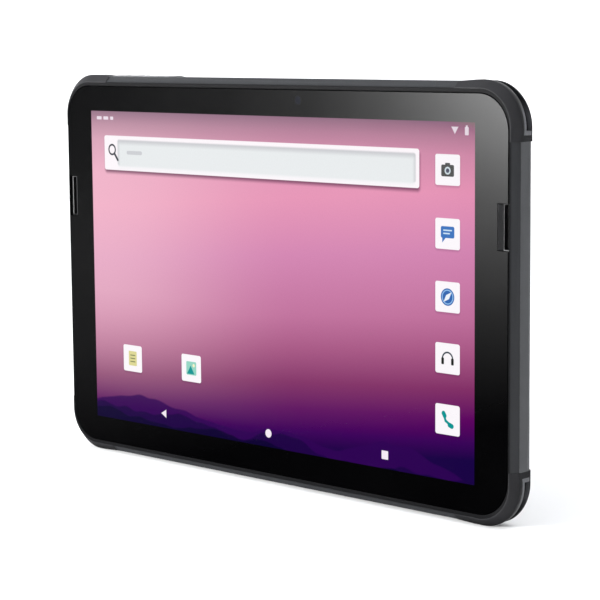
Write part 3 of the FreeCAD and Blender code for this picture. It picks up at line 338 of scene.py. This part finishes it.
def wallpaper(tree):
    """An evening sky that darkens downwards and to the right, over three ranges of hills."""
    down = tree.range(tree.z, HALF_HEIGHT, -HALF_HEIGHT)
    lean = tree.range(tree.x, -HALF_WIDTH, HALF_WIDTH, -0.06, 0.068)
    sky = tree.ramp(tree.math("ADD", down, lean, clamp=True), [
        (0.0, srgb(222, 156, 184)), (0.25, srgb(230, 150, 183)), (0.42, srgb(210, 133, 177)),
        (0.6, srgb(192, 114, 157)), (0.7, srgb(168, 90, 134)), (0.8, srgb(132, 56, 106)),
        (0.88, srgb(98, 30, 100)), (0.95, srgb(62, 14, 92)), (1.0, srgb(32, 4, 72))])
    glow = tree.math("MULTIPLY", tree.range(tree.x, 20, -HALF_WIDTH, 0.0, 0.45, smooth=True),
                     tree.range(down, 0.95, 0.58, 0.0, 1.0))
    tree.colour = tree.mix(glow, sky, srgb(255, 210, 222))
    shade = tree.ramp(down, [(place, (level, level, level, 1))
                             for place, level in ((0.0, 0.9), (0.04, 0.55), (0.09, 0.25), (0.2, 0.0))])
    tree.colour = tree.mix(shade, tree.colour, srgb(140, 112, 130))
    for level, swell, frequency, seed, colour in ((-60.5, 7, 0.021, 3.1, srgb(50, 14, 86)),
                                                  (-64.5, 5, 0.03, 7.7, srgb(30, 4, 68)),
                                                  (-67, 3, 0.042, 12.4, srgb(14, 1, 50))):
        along = tree.nodes.new("ShaderNodeCombineXYZ")
        tree.put(along.inputs[0], tree.math("MULTIPLY", tree.x, frequency))
        along.inputs[1].default_value = seed
        crest = tree.range(tree.noise(1.0, 2.5, 0.45, along.outputs[0]), 0.25, 0.75, -swell, swell)
        fall = tree.range(tree.x, -HALF_WIDTH, HALF_WIDTH, 3.0, -3.5)
        top = tree.math("ADD", tree.math("ADD", crest, fall), level)
        tree.paint(tree.math("SUBTRACT", tree.z, top), colour, 0.85, 0.5)


def tile(tree, x, z):
    """A white square with rounded corners and a soft shadow, to hold a symbol."""
    tree.paint(tree.box(x, z - 0.5, 6.0, 5.8, 1.2), srgb(60, 20, 60), 0.35, 0.9)
    tree.paint(tree.box(x, z, 6.0, 5.8, 0.9), srgb(252, 248, 252))


def camera_symbol(tree, x, z, ink):
    tree.paint(tree.box(x, z - 0.3, 3.1, 2.2, 0.6), ink)
    tree.paint(tree.box(x, z + 1.9, 1.2, 0.7, 0.3), ink)
    tree.paint(tree.disc(x, z - 0.3, 1.45), srgb(214, 226, 232))
    tree.paint(tree.disc(x, z - 0.3, 0.85), srgb(40, 88, 110))


def message_symbol(tree, x, z, ink):
    tree.paint(tree.polygon([(x - 0.2, z - 0.8), (x - 2.6, z - 3.4), (x - 2.6, z - 0.8)]), ink)
    tree.paint(tree.box(x, z + 0.6, 3.3, 2.2, 0.7), ink)
    tree.paint(tree.line(x - 1.9, z + 1.3, x + 1.9, z + 1.3, 0.25), srgb(210, 232, 250))
    tree.paint(tree.line(x - 1.9, z + 0.1, x + 0.9, z + 0.1, 0.25), srgb(210, 232, 250))


def compass_symbol(tree, x, z, ink):
    tree.paint(tree.disc(x, z, 3.3), ink)
    tree.paint(tree.ring(x, z, 2.6, 0.2), srgb(150, 196, 240))
    needle = [(x - 0.7, z + 0.7), (x + 1.9, z + 1.9), (x + 0.7, z - 0.7), (x - 1.9, z - 1.9)]
    tree.paint(tree.polygon(needle), srgb(240, 246, 252))


def headphones_symbol(tree, x, z, ink):
    tree.paint(tree.above(tree.ring(x, z - 0.2, 2.5, 0.32), z - 0.2), ink)
    for side in (-1, 1):
        tree.paint(tree.box(x + side * 2.4, z - 1.1, 0.65, 1.3, 0.4), srgb(38, 44, 40))


def handset_symbol(tree, x, z, ink):
    tree.paint(tree.line(x - 1.9, z + 1.9, x - 0.9, z - 0.5, 0.55), ink)
    tree.paint(tree.line(x - 0.9, z - 0.5, x + 1.6, z - 2.0, 0.55), ink)
    tree.paint(tree.line(x - 1.95, z + 2.3, x - 1.4, z + 1.4, 0.95), ink)
    tree.paint(tree.line(x + 1.0, z - 1.9, x + 2.1, z - 2.3, 0.95), ink)


def notes_symbol(tree, x, z, ink):
    tree.paint(tree.box(x, z, 2.6, 3.2, 0.5), srgb(222, 216, 150))
    for step in (-1.4, 0, 1.4):
        tree.paint(tree.line(x - 1.4, z + step, x + 1.4, z + step, 0.22), ink)


def picture_symbol(tree, x, z, ink):
    tree.paint(tree.box(x, z, 3.1, 2.9, 0.6), srgb(150, 214, 196))
    tree.paint(tree.polygon([(x - 2.7, z - 2.5), (x - 0.4, z + 1.2), (x + 1.9, z - 2.5)]), ink)
    tree.paint(tree.disc(x + 1.5, z + 1.3, 0.7), srgb(250, 244, 200))


def symbols(tree):
    """Plain symbols of no real product, each on its tile."""
    grey, teal = srgb(62, 74, 84), srgb(22, 150, 148)
    for draw, x, z, ink in ((camera_symbol, TILE_COLUMN, 49.9, grey),
                            (message_symbol, TILE_COLUMN, 26.0, srgb(28, 118, 190)),
                            (compass_symbol, TILE_COLUMN, 2.2, srgb(52, 104, 176)),
                            (headphones_symbol, TILE_COLUMN, -21.1, grey),
                            (handset_symbol, TILE_COLUMN, -44.5, teal),
                            (notes_symbol, -84.0, -39.6, srgb(120, 128, 90)),
                            (picture_symbol, -46.5, -40.0, teal)):
        tile(tree, x, z)
        draw(tree, x, z, ink)


def search_bar(tree):
    """A wide white bar with a soft shadow, a sunk grey field, a lens sign and a blank entry."""
    x, z, half_x, half_z = -9.25, 49.85, 90.75, 7.45
    field = x + 3.4
    tree.paint(tree.box(x + 0.3, z - 1.2, half_x, half_z, 1.4), srgb(70, 20, 60), 0.75, 1.1)
    tree.paint(tree.box(x, z, half_x, half_z, 1.1), srgb(254, 248, 252))
    tree.paint(tree.box(field, z + 0.2, half_x - 5.2, half_z - 1.9, 1.0), srgb(196, 198, 202), 0.9, 0.5)
    tree.paint(tree.box(field, z - 0.9, half_x - 6.0, half_z - 2.3, 1.0), srgb(236, 240, 241), 1.0, 1.6)
    ink = srgb(72, 76, 82)
    tree.paint(tree.ring(-95.0, 51.2, 2.1, 0.4), ink)
    tree.paint(tree.line(-93.4, 49.4, -91.4, 46.8, 0.55), ink)
    tree.paint(tree.box(-80.5, 50.2, 5.0, 0.8, 0.8), srgb(206, 208, 212))


def status_and_navigation(tree):
    """Small marks along the top, and back, home and overview marks along the foot."""
    pale = srgb(246, 236, 246)
    for x, half in ((-103.2, 1.6), (-98.8, 1.6), (-94.9, 1.0)):
        tree.paint(tree.box(x, 64.8, half, 0.7, 0.3), pale, 0.85)
    tree.paint(tree.polygon([(97.2, 66.0), (100.6, 66.0), (98.9, 63.3)]), pale, 0.8)
    tree.paint(tree.box(104.6, 64.5, 0.9, 1.5, 0.3), pale, 0.8)
    tree.paint(tree.box(104.6, 66.2, 0.45, 0.4, 0.1), pale, 0.8)
    tree.paint(tree.polygon([(-66.0, -61.6), (-62.8, -59.8), (-62.8, -63.4)]), pale)
    tree.paint(tree.disc(-0.5, -62.1, 1.75), pale)
    tree.paint(tree.box(63.6, -62.4, 1.7, 1.7, 0.3), pale)


def front_glass(slot):
    """Coated cover glass, black at the border and clear over the lit display.

    The display's picture is darkened with painted shade where the glass reflects most, and the coating
    reflects less towards its foot.
    """
    tree = Picture("look_" + slot)
    wallpaper(tree)
    search_bar(tree)
    symbols(tree)
    status_and_navigation(tree)
    lit = tree.range(tree.box(0, 0, HALF_WIDTH, HALF_HEIGHT, 0.3), -0.08, 0.08, 1.0, 0.0)
    sparkle = tree.range(tree.noise(1500, 2), 0.2, 0.8, 0.975, 1.025)
    # painted shade: the picture is darkened towards the upper right, where the glass reflects the key
    # light, and a little all over
    towards_corner = tree.math("ADD", tree.math("DIVIDE", tree.x, 50), tree.math("DIVIDE", tree.z, 32))
    reflection_dimming = tree.math("EXPONENT", tree.math("ADD", towards_corner, -5.75))
    painted_dimming = tree.vector("ADD", reflection_dimming, (0.002, 0.005, 0.004))
    picture = tree.vector("MAXIMUM", tree.vector("SUBTRACT", tree.colour, painted_dimming), (0, 0, 0))
    screen = tree.scaled(picture, tree.math("MULTIPLY", lit, sparkle))
    tree.put(tree.shader.inputs["Emission Color"], screen)
    tree.shader.inputs["Emission Strength"].default_value = 1.0
    smears = tree.noise(26, 6, 0.62)
    face_camera = middle("face_camera")
    lens = tree.range(tree.disc(*face_camera, 1.5), -0.1, 0.1, 1.0, 0.0)
    collar = tree.range(tree.ring(*face_camera, 1.8, 0.12), -0.15, 0.15, 0.5, 0.0)
    ink = tree.mix(tree.range(smears, 0.35, 0.75), srgb(0.4, 0.4, 0.6), srgb(1, 1, 1.2))
    ink = tree.mix(collar, tree.mix(lens, ink, srgb(3, 4, 10)), srgb(14, 14, 16))
    tree.put(tree.shader.inputs["Base Color"], ink)
    tree.put(tree.shader.inputs["Roughness"], tree.range(smears, 0.3, 0.8, 0.205, 0.235))
    tree.shader.inputs["IOR"].default_value = 1.08
    slanted = tree.math("SUBTRACT", tree.z, tree.math("MULTIPLY", tree.x, 0.2))
    tree.put(tree.shader.inputs["Specular IOR Level"], tree.range(slanted, -68, -15, 0.05, 0.5))
    return tree.material


LOOKS = {
    "black_glass": front_glass("black_glass"),
    "clear_sensor": dark_glass("clear_sensor", (0.3, 0.32, 0.32, 1)),
    "display": dark_glass("display", (0.02, 0.02, 0.025, 1)),
    "black_foam": moulded("black_foam", srgb(30, 30, 31), 0.85, srgb(50, 50, 50), grain=0.06, wear=0.2),
    "flex_film": moulded("flex_film", srgb(158, 112, 48), 0.35, srgb(190, 150, 90), grain=0.004, wear=0.3),
    # dark polymer: the band next to the cover glass carries a painted shade
    "dark_polymer": moulded("dark_polymer", srgb(29, 30, 32), 0.55, srgb(58, 59, 62), grain=0.012,
                            wear=0.4, drift=0.06, gloss=0.2, lip_shade=srgb(8, 8, 9), dull_foot=True),
    "magnesium": metal("magnesium", srgb(178, 179, 184), 0.48, scale=500),
    # grey polymer: narrow recesses darkened with painted shade
    "grey_polymer": moulded("grey_polymer", srgb(59, 60, 62), 0.52, srgb(96, 97, 100), grain=0.016,
                            wear=0.5, drift=0.06, recess_shade=0.9),
    "battery_polymer": moulded("battery_polymer", srgb(48, 49, 51), 0.5, srgb(86, 87, 90), grain=0.014,
                               wear=0.5, drift=0.06),
    "cell_foil": metal("cell_foil", srgb(200, 200, 204), 0.36, scale=300),
    "seal_rubber": moulded("seal_rubber", srgb(34, 34, 34), 0.6, srgb(60, 60, 60), grain=0.01, wear=0.2),
    "black_nylon": moulded("black_nylon", srgb(28, 28, 29), 0.45, srgb(64, 64, 66), grain=0.01, wear=0.4),
    "latch_polymer": moulded("latch_polymer", srgb(34, 35, 37), 0.38, srgb(92, 93, 96), grain=0.008,
                             wear=0.7, drift=0.06),
    "steel": metal("steel", srgb(196, 196, 194), 0.3, stretch=(1, 1, 0.08)),
    "spring_steel": metal("spring_steel", srgb(170, 172, 176), 0.28, stretch=(1, 1, 0.3)),
    "black_steel": metal("black_steel", srgb(74, 75, 78), 0.4, stretch=(1, 0.2, 1), scale=1400),
    "board_laminate": laminate("board_laminate", srgb(18, 66, 40), srgb(46, 108, 66)),
    "tinned_steel": metal("tinned_steel", srgb(186, 186, 182), 0.34, stretch=(0.1, 1, 1)),
    "chip_resin": moulded("chip_resin", srgb(38, 38, 40), 0.55, srgb(60, 60, 62), grain=0.01, wear=0.3),
    "ceramic": moulded("ceramic", srgb(206, 196, 176), 0.3, srgb(226, 220, 206), grain=0.006, wear=0.3),
    "copper": metal("copper", srgb(198, 120, 84), 0.32, scale=700),
    "key_polymer": moulded("key_polymer", srgb(46, 47, 49), 0.44, srgb(104, 105, 108), grain=0.01,
                           wear=0.8),
    # bumper rubber: narrow recesses darkened with painted shade
    "bumper_rubber": moulded("bumper_rubber", srgb(22, 22, 24), 0.62, srgb(44, 44, 46), grain=0.03,
                             wear=0.4, drift=0.08, gloss=0.16, recess_shade=0.9, dull_foot=True),
    # strap anchors: a painted shade towards the top and bottom edges
    "anchor_polymer": moulded("anchor_polymer", srgb(78, 79, 82), 0.42, srgb(116, 117, 121), grain=0.012,
                              wear=0.6, drift=0.06, ends=srgb(28, 28, 30)),
    "gold_plate": metal("gold_plate", srgb(226, 190, 116), 0.24, stretch=(1, 0.2, 1), scale=1500),
    "lens_glass": dark_glass("lens_glass", (0.006, 0.006, 0.008, 1)),
    "camera_black": moulded("camera_black", srgb(22, 22, 23), 0.5, srgb(50, 50, 52), grain=0.008, wear=0.3),
    "lamp_lens": dark_glass("lamp_lens", (0.62, 0.6, 0.5, 1)),
    "speaker_polymer": moulded("speaker_polymer", srgb(34, 34, 35), 0.6, srgb(60, 60, 62), grain=0.02,
                               wear=0.3),
    "grille_polymer": moulded("grille_polymer", srgb(16, 16, 17), 0.4, srgb(52, 52, 55), grain=0.006,
                              wear=0.6, drift=0.08, gloss=0.2),
}

SLOT_OF = {part["node"]: part["material_slot"] for part in frame["record"]["subparts"]}
for node, piece in frame["nodes"].items():
    piece.data.materials.clear()
    piece.data.materials.append(LOOKS[SLOT_OF[node]])


# ---------------------------------------------------------------- softened edges of the CAD parts

def soften(node, width):
    """Rounds a CAD part's sharp edges by a mould's small radius, in millimetres."""
    piece = frame["nodes"][node]
    weld = piece.modifiers.new("join_faces", "WELD")
    weld.merge_threshold = 0.001 * MM
    bevel = piece.modifiers.new("mould_radius", "BEVEL")
    bevel.width = width * MM
    bevel.segments = 2
    bevel.limit_method = "ANGLE"
    bevel.angle_limit = math.radians(30)
    bevel.harden_normals = True
    bevel.use_clamp_overlap = True


CORNERS = ("top_left", "top_right", "bottom_left", "bottom_right")
MOULD_RADII = [("corner_bumper_" + corner, 0.3) for corner in CORNERS]
MOULD_RADII += [("strap_anchor_" + corner, 0.25) for corner in CORNERS]
MOULD_RADII += [
    ("front_bezel", 0.2), ("rear_housing", 0.25), ("battery_case", 0.25), ("cover_glass", 0.12),
    ("battery_latch_left", 0.3), ("battery_latch_right", 0.3), ("power_key", 0.3), ("volume_rocker", 0.3),
    ("port_cover", 0.25), ("card_tray", 0.2), ("camera_window", 0.1), ("speaker_grille_left", 0.3),
    ("speaker_grille_right", 0.3), ("dock_block", 0.15), ("headset_jack", 0.12), ("usb_socket", 0.1)]
for node, radius in MOULD_RADII:
    soften(node, radius)


# ---------------------------------------------------------------- raised details

# How a flat outline (u, v) and a level t outwards lie on each side of the case.
FACING = {
    "back": lambda u, v, t: Vector((u, t, v)),
    "top": lambda u, v, t: Vector((u, v, t)),
    "left": lambda u, v, t: Vector((-t, u, v)),
}


def rounded(u, v, wide, tall, radius, lean=0.0):
    """A round-cornered rectangle as points, leaning sideways by a share of its height."""
    points, steps = [], 5
    for quarter, (side_u, side_v) in enumerate(((1, 1), (-1, 1), (-1, -1), (1, -1))):
        for step in range(steps + 1):
            angle = (quarter + step / steps) * math.pi / 2
            run = side_u * (wide / 2 - radius) + radius * math.cos(angle)
            rise = side_v * (tall / 2 - radius) + radius * math.sin(angle)
            points.append((u + run + lean * rise, v + rise))
    return points


def arc(u, v, outer, inner, start, end):
    """An open ring as points, between two angles in degrees."""
    steps = 22
    angles = [math.radians(start + (end - start) * step / steps) for step in range(steps + 1)]
    return ([(u + outer * math.cos(a), v + outer * math.sin(a)) for a in angles]
            + [(u + inner * math.cos(a), v + inner * math.sin(a)) for a in reversed(angles)])


def inset(points, distance):
    """The same outline, drawn in by a distance."""
    result = []
    for before, here, after in zip(points[-1:] + points[:-1], points, points[1:] + points[:1]):
        into, out = Vector(here) - Vector(before), Vector(after) - Vector(here)
        inward = Vector((-into.y, into.x)).normalized() + Vector((-out.y, out.x)).normalized()
        inward *= 2 / max(inward.length_squared, 0.5)
        result.append((here[0] + inward.x * distance, here[1] + inward.y * distance))
    return result


def add_piece(name, mesh, slot, body, smooth=False):
    """A new object from a mesh: it rides a body and takes a slot's look."""
    data = bpy.data.meshes.new(name)
    bmesh.ops.recalc_face_normals(mesh, faces=mesh.faces)
    mesh.to_mesh(data)
    mesh.free()
    if smooth:
        data.shade_smooth()
    data.materials.append(LOOKS[slot])
    piece = bpy.data.objects.new(name, data)
    bpy.context.scene.collection.objects.link(piece)
    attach(piece, body)
    return piece


def raised(name, outlines, low, high, slot, body, side="back", chamfer=0.12):
    """Closed pads with chamfered tops, one for each outline, standing on one side of the case."""
    mesh = bmesh.new()
    for points in outlines:
        levels = ((points, low), (points, high - chamfer), (inset(points, chamfer), high))
        rings = [[mesh.verts.new(FACING[side](u, v, t) * MM + SCREEN_MIDDLE) for u, v in ring]
                 for ring, t in levels]
        mesh.faces.new(rings[0])
        mesh.faces.new(rings[-1])
        for lower, upper in zip(rings, rings[1:]):
            for i in range(len(points)):
                mesh.faces.new((lower[i - 1], lower[i], upper[i], upper[i - 1]))
    add_piece(name, mesh, slot, body)


def turned(name, place, base, profile, slot, body, turns=48):
    """A closed round piece on the back.

    Its profile is (radius, height over base) points, which start and end on the axis or form a loop.
    """
    u, v = place
    mesh = bmesh.new()
    rings = []
    for radius, height in profile:
        count = turns if radius else 1
        rings.append([mesh.verts.new(FACING["back"](u + radius * math.cos(t * math.tau / turns),
                                                    v + radius * math.sin(t * math.tau / turns),
                                                    base + height) * MM + SCREEN_MIDDLE)
                      for t in range(count)])
    pairs = list(zip(rings, rings[1:]))
    if len(rings[0]) > 1 and len(rings[-1]) > 1:
        pairs.append((rings[-1], rings[0]))
    for first, second in pairs:
        for t in range(turns):
            corners = [first[t % len(first)], first[(t + 1) % len(first)],
                       second[(t + 1) % len(second)], second[t % len(second)]]
            mesh.faces.new(list(dict.fromkeys(corners)))
    add_piece(name, mesh, slot, body, smooth=True)


# The back: grip ribs on the housing, ribs and arrows by the battery, a blank label.
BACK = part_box("rear_housing")[1][1] / MM
PACK_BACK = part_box("battery_case")[1][1] / MM
GRIP_HEIGHTS = (-40, -34.5, -29, -23.5, -18, -12.5, 14, 19.5, 25, 30.5, 36)
PACK_RIB_HEIGHTS = (-14.5, -19, -23.5)
LATCH_X = middle("battery_latch_right")[0]
raised("grip_ribs", [rounded(side * 103.5, height, 20, 2.0, 0.9, lean=side * 0.4)
                     for side in (-1, 1) for height in GRIP_HEIGHTS],
       BACK - 0.1, BACK + 0.4, "grey_polymer", "case", chamfer=0.3)
raised("pack_ribs", [rounded(0, height, 132, 1.6, 0.7) for height in PACK_RIB_HEIGHTS],
       PACK_BACK - 0.1, PACK_BACK + 0.3, "battery_polymer", "case", chamfer=0.2)
raised("blank_label", [rounded(0, 52, 68.6, 20.6, 2)],
       BACK - 0.32, BACK - 0.12, "black_nylon", "case", chamfer=0.05)
raised("latch_arrows", [[(x + 2.2, 11.4), (x, 13.4), (x - 2.2, 11.4)] for x in (-LATCH_X, LATCH_X)],
       BACK - 0.1, BACK + 0.15, "black_nylon", "case", chamfer=0.08)

# The camera window: a ring and a domed cover each for the lens and for the lamp.
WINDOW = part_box("camera_window")[1][1] / MM
LENS, LAMP = middle("rear_camera"), middle("flash_lamp")
turned("lens_ring", LENS, WINDOW,
       [(3.3, -0.05), (4.3, -0.05), (4.3, 0.2), (4.1, 0.34), (3.7, 0.34), (3.3, 0.1)],
       "black_steel", "case")
turned("lens_dome", LENS, WINDOW,
       [(0, -0.04), (3.2, -0.04), (3.2, 0.03), (2.6, 0.12), (1.6, 0.19), (0.7, 0.22), (0, 0.225)],
       "lens_glass", "case")
turned("lamp_ring", LAMP, WINDOW,
       [(2.0, -0.05), (2.6, -0.05), (2.6, 0.12), (2.45, 0.2), (2.15, 0.2), (2.0, 0.08)],
       "black_steel", "case", turns=40)
turned("lamp_cover", LAMP, WINDOW,
       [(0, -0.04), (1.9, -0.04), (1.9, 0.04), (1.3, 0.1), (1.1, 0.06), (0.7, 0.12), (0.4, 0.08),
        (0, 0.13)],
       "lamp_lens", "case", turns=40)

# The keys' marks, the port cover's ribs and the card tray's finger ridge.
KEY_TOP = (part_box("power_key")[1][2] - SCREEN_MIDDLE.z) / MM
KEY_Y = 0.9
POWER_X, ROCKER_X = middle("power_key")[0], middle("volume_rocker")[0]
MINUS_X, PLUS_X = ROCKER_X - 6.6, ROCKER_X + 6.6
raised("power_mark", [arc(POWER_X, KEY_Y, 0.85, 0.6, 125, 415),
                      rounded(POWER_X, KEY_Y + 0.6, 0.26, 0.95, 0.1)],
       KEY_TOP - 0.05, KEY_TOP + 0.08, "key_polymer", "power_key", "top", chamfer=0.04)
raised("volume_marks", [rounded(MINUS_X, KEY_Y, 1.7, 0.28, 0.1), rounded(PLUS_X, KEY_Y, 1.7, 0.28, 0.1),
                        rounded(PLUS_X, KEY_Y + 0.52, 0.28, 0.72, 0.1),
                        rounded(PLUS_X, KEY_Y - 0.52, 0.28, 0.72, 0.1)],
       KEY_TOP - 0.05, KEY_TOP + 0.08, "key_polymer", "volume_rocker", "top", chamfer=0.04)
COVER_FACE = -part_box("port_cover")[0][0] / MM
raised("cover_ribs", [rounded(0.6, height, 3.2, 0.7, 0.3) for height in (-9.2, -10.7, -12.2)],
       COVER_FACE - 0.1, COVER_FACE + 0.25, "bumper_rubber", "port_cover", "left", chamfer=0.12)
TRAY_FACE = -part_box("card_tray")[0][0] / MM
raised("tray_ridge", [rounded(1.2, 2, 1.3, 7, 0.5)],
       TRAY_FACE - 0.1, TRAY_FACE + 0.15, "key_polymer", "card_tray", "left", chamfer=0.1)


def coil(side):
    """A latch's compression spring, in the place of the CAD one."""
    low, high = (Vector(corner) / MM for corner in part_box("latch_spring_" + side))
    turns, wire = 6, 0.2                    # wire is its radius
    around, sides = 24, 8                   # facets in a turn, and round the wire
    facets = [s * math.tau / sides for s in range(sides)]
    centre = (low + high) / 2
    radius = (high.x - low.x) / 2 - wire
    mesh = bmesh.new()
    rings = []
    for step in range(turns * around + 1):
        angle = step / around * math.tau
        outward = Vector((math.cos(angle), math.sin(angle), 0))
        rise = low.z + wire + (high.z - low.z - 2 * wire) * step / (turns * around)
        spine = Vector((centre.x, centre.y, rise)) + outward * radius
        section = [outward * math.cos(a) + Vector((0, 0, math.sin(a))) for a in facets]
        rings.append([mesh.verts.new((spine + wire * point) * MM) for point in section])
    mesh.faces.new(rings[0])
    mesh.faces.new(rings[-1])
    for first, second in zip(rings, rings[1:]):
        for s in range(sides):
            mesh.faces.new((first[s - 1], first[s], second[s], second[s - 1]))
    piece = add_piece("latch_coil_" + side, mesh, "spring_steel", "case", smooth=True)
    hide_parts("latch_spring_" + side)
    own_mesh(piece)


coil("left")
coil("right")


# ---------------------------------------------------------------- studio

def sweep():
    """A round pale floor that curves up into a wall, so that every view ends in the same soft tone."""
    flat, bend, wall = 2.4, 1.2, 3.2        # radius of the level part, the bend's radius, the wall's height
    turns, bend_steps = 96, 12
    angles = [step * math.pi / 2 / bend_steps for step in range(bend_steps + 1)]
    profile = [(0.6, 0.0), (1.4, 0.0)]
    profile += [(flat + bend * math.sin(a), bend * (1 - math.cos(a))) for a in angles]
    profile.append((flat + bend, wall))
    mesh = bmesh.new()
    hub = mesh.verts.new((0, 0, 0))
    rings = [[mesh.verts.new((r * math.cos(t * math.tau / turns), r * math.sin(t * math.tau / turns), h))
              for t in range(turns)] for r, h in profile]
    for t in range(turns):
        mesh.faces.new((hub, rings[0][t], rings[0][(t + 1) % turns]))
        for inner, outer in zip(rings, rings[1:]):
            mesh.faces.new((inner[t], outer[t], outer[(t + 1) % turns], inner[(t + 1) % turns]))
    data = bpy.data.meshes.new("studio_floor")
    mesh.to_mesh(data)
    mesh.free()
    data.shade_smooth()
    floor = bpy.data.objects.new("studio_floor", data)
    bpy.context.scene.collection.objects.link(floor)
    tree = Tree("look_floor")
    paper = tree.noise(9, 4)
    tree.put(tree.shader.inputs["Base Color"],
             tree.mix(tree.range(paper, 0.3, 0.7), (0.88, 0.88, 0.88, 1), (0.9, 0.9, 0.9, 1)))
    tree.put(tree.shader.inputs["Roughness"], tree.range(paper, 0.3, 0.7, 0.75, 0.9))
    tree.shader.inputs["Specular IOR Level"].default_value = 0.2
    data.materials.append(tree.material)


def softbox(name, place, target, width, height, power):
    """A rectangular lamp, in metres and watts, that the camera doesn't see."""
    lamp = bpy.data.lights.new(name, "AREA")
    lamp.shape = "RECTANGLE"
    lamp.size, lamp.size_y = width, height
    lamp.energy = power
    holder = bpy.data.objects.new(name, lamp)
    holder.location = place
    holder.rotation_euler = (Vector(target) - Vector(place)).to_track_quat("-Z", "Y").to_euler()
    holder.visible_camera = False
    bpy.context.scene.collection.objects.link(holder)


sweep()
softbox("overhead", place=(0.2, 0.1, 1.7), target=(0, 0, 0.08), width=1.6, height=1.6, power=11)
softbox("key", place=(-0.73, -1.26, 0.20), target=(0, 0, 0.1), width=0.30, height=0.26, power=92)
softbox("backdrop", place=(-1.2, 1.2, 1.7), target=(-2.7, 2.7, 0.7), width=1.6, height=1.6, power=26)

world = bpy.data.worlds.new("soft_surroundings")
world.use_nodes = True
world.node_tree.nodes["Background"].inputs["Color"].default_value = (0.94, 0.96, 1.0, 1)
world.node_tree.nodes["Background"].inputs["Strength"].default_value = 1.0
bpy.context.scene.world = world
bpy.context.scene.view_settings.view_transform = "Standard"

# The place and turn solved from the lit screen's four corners in the photograph, from the display's middle.
CAMERA_OFFSET, CAMERA_TURN = (595.9, -599.5, 101.2), (82.67, 0.492, 44.162)
camera = bpy.data.cameras.new("camera")
camera.lens = 125
camera.sensor_width = 36
holder = bpy.data.objects.new("camera", camera)
holder.location = SCREEN_MIDDLE + Vector(CAMERA_OFFSET) * MM
holder.rotation_euler = Euler([math.radians(angle) for angle in CAMERA_TURN])
bpy.context.scene.collection.objects.link(holder)
bpy.context.scene.camera = holder
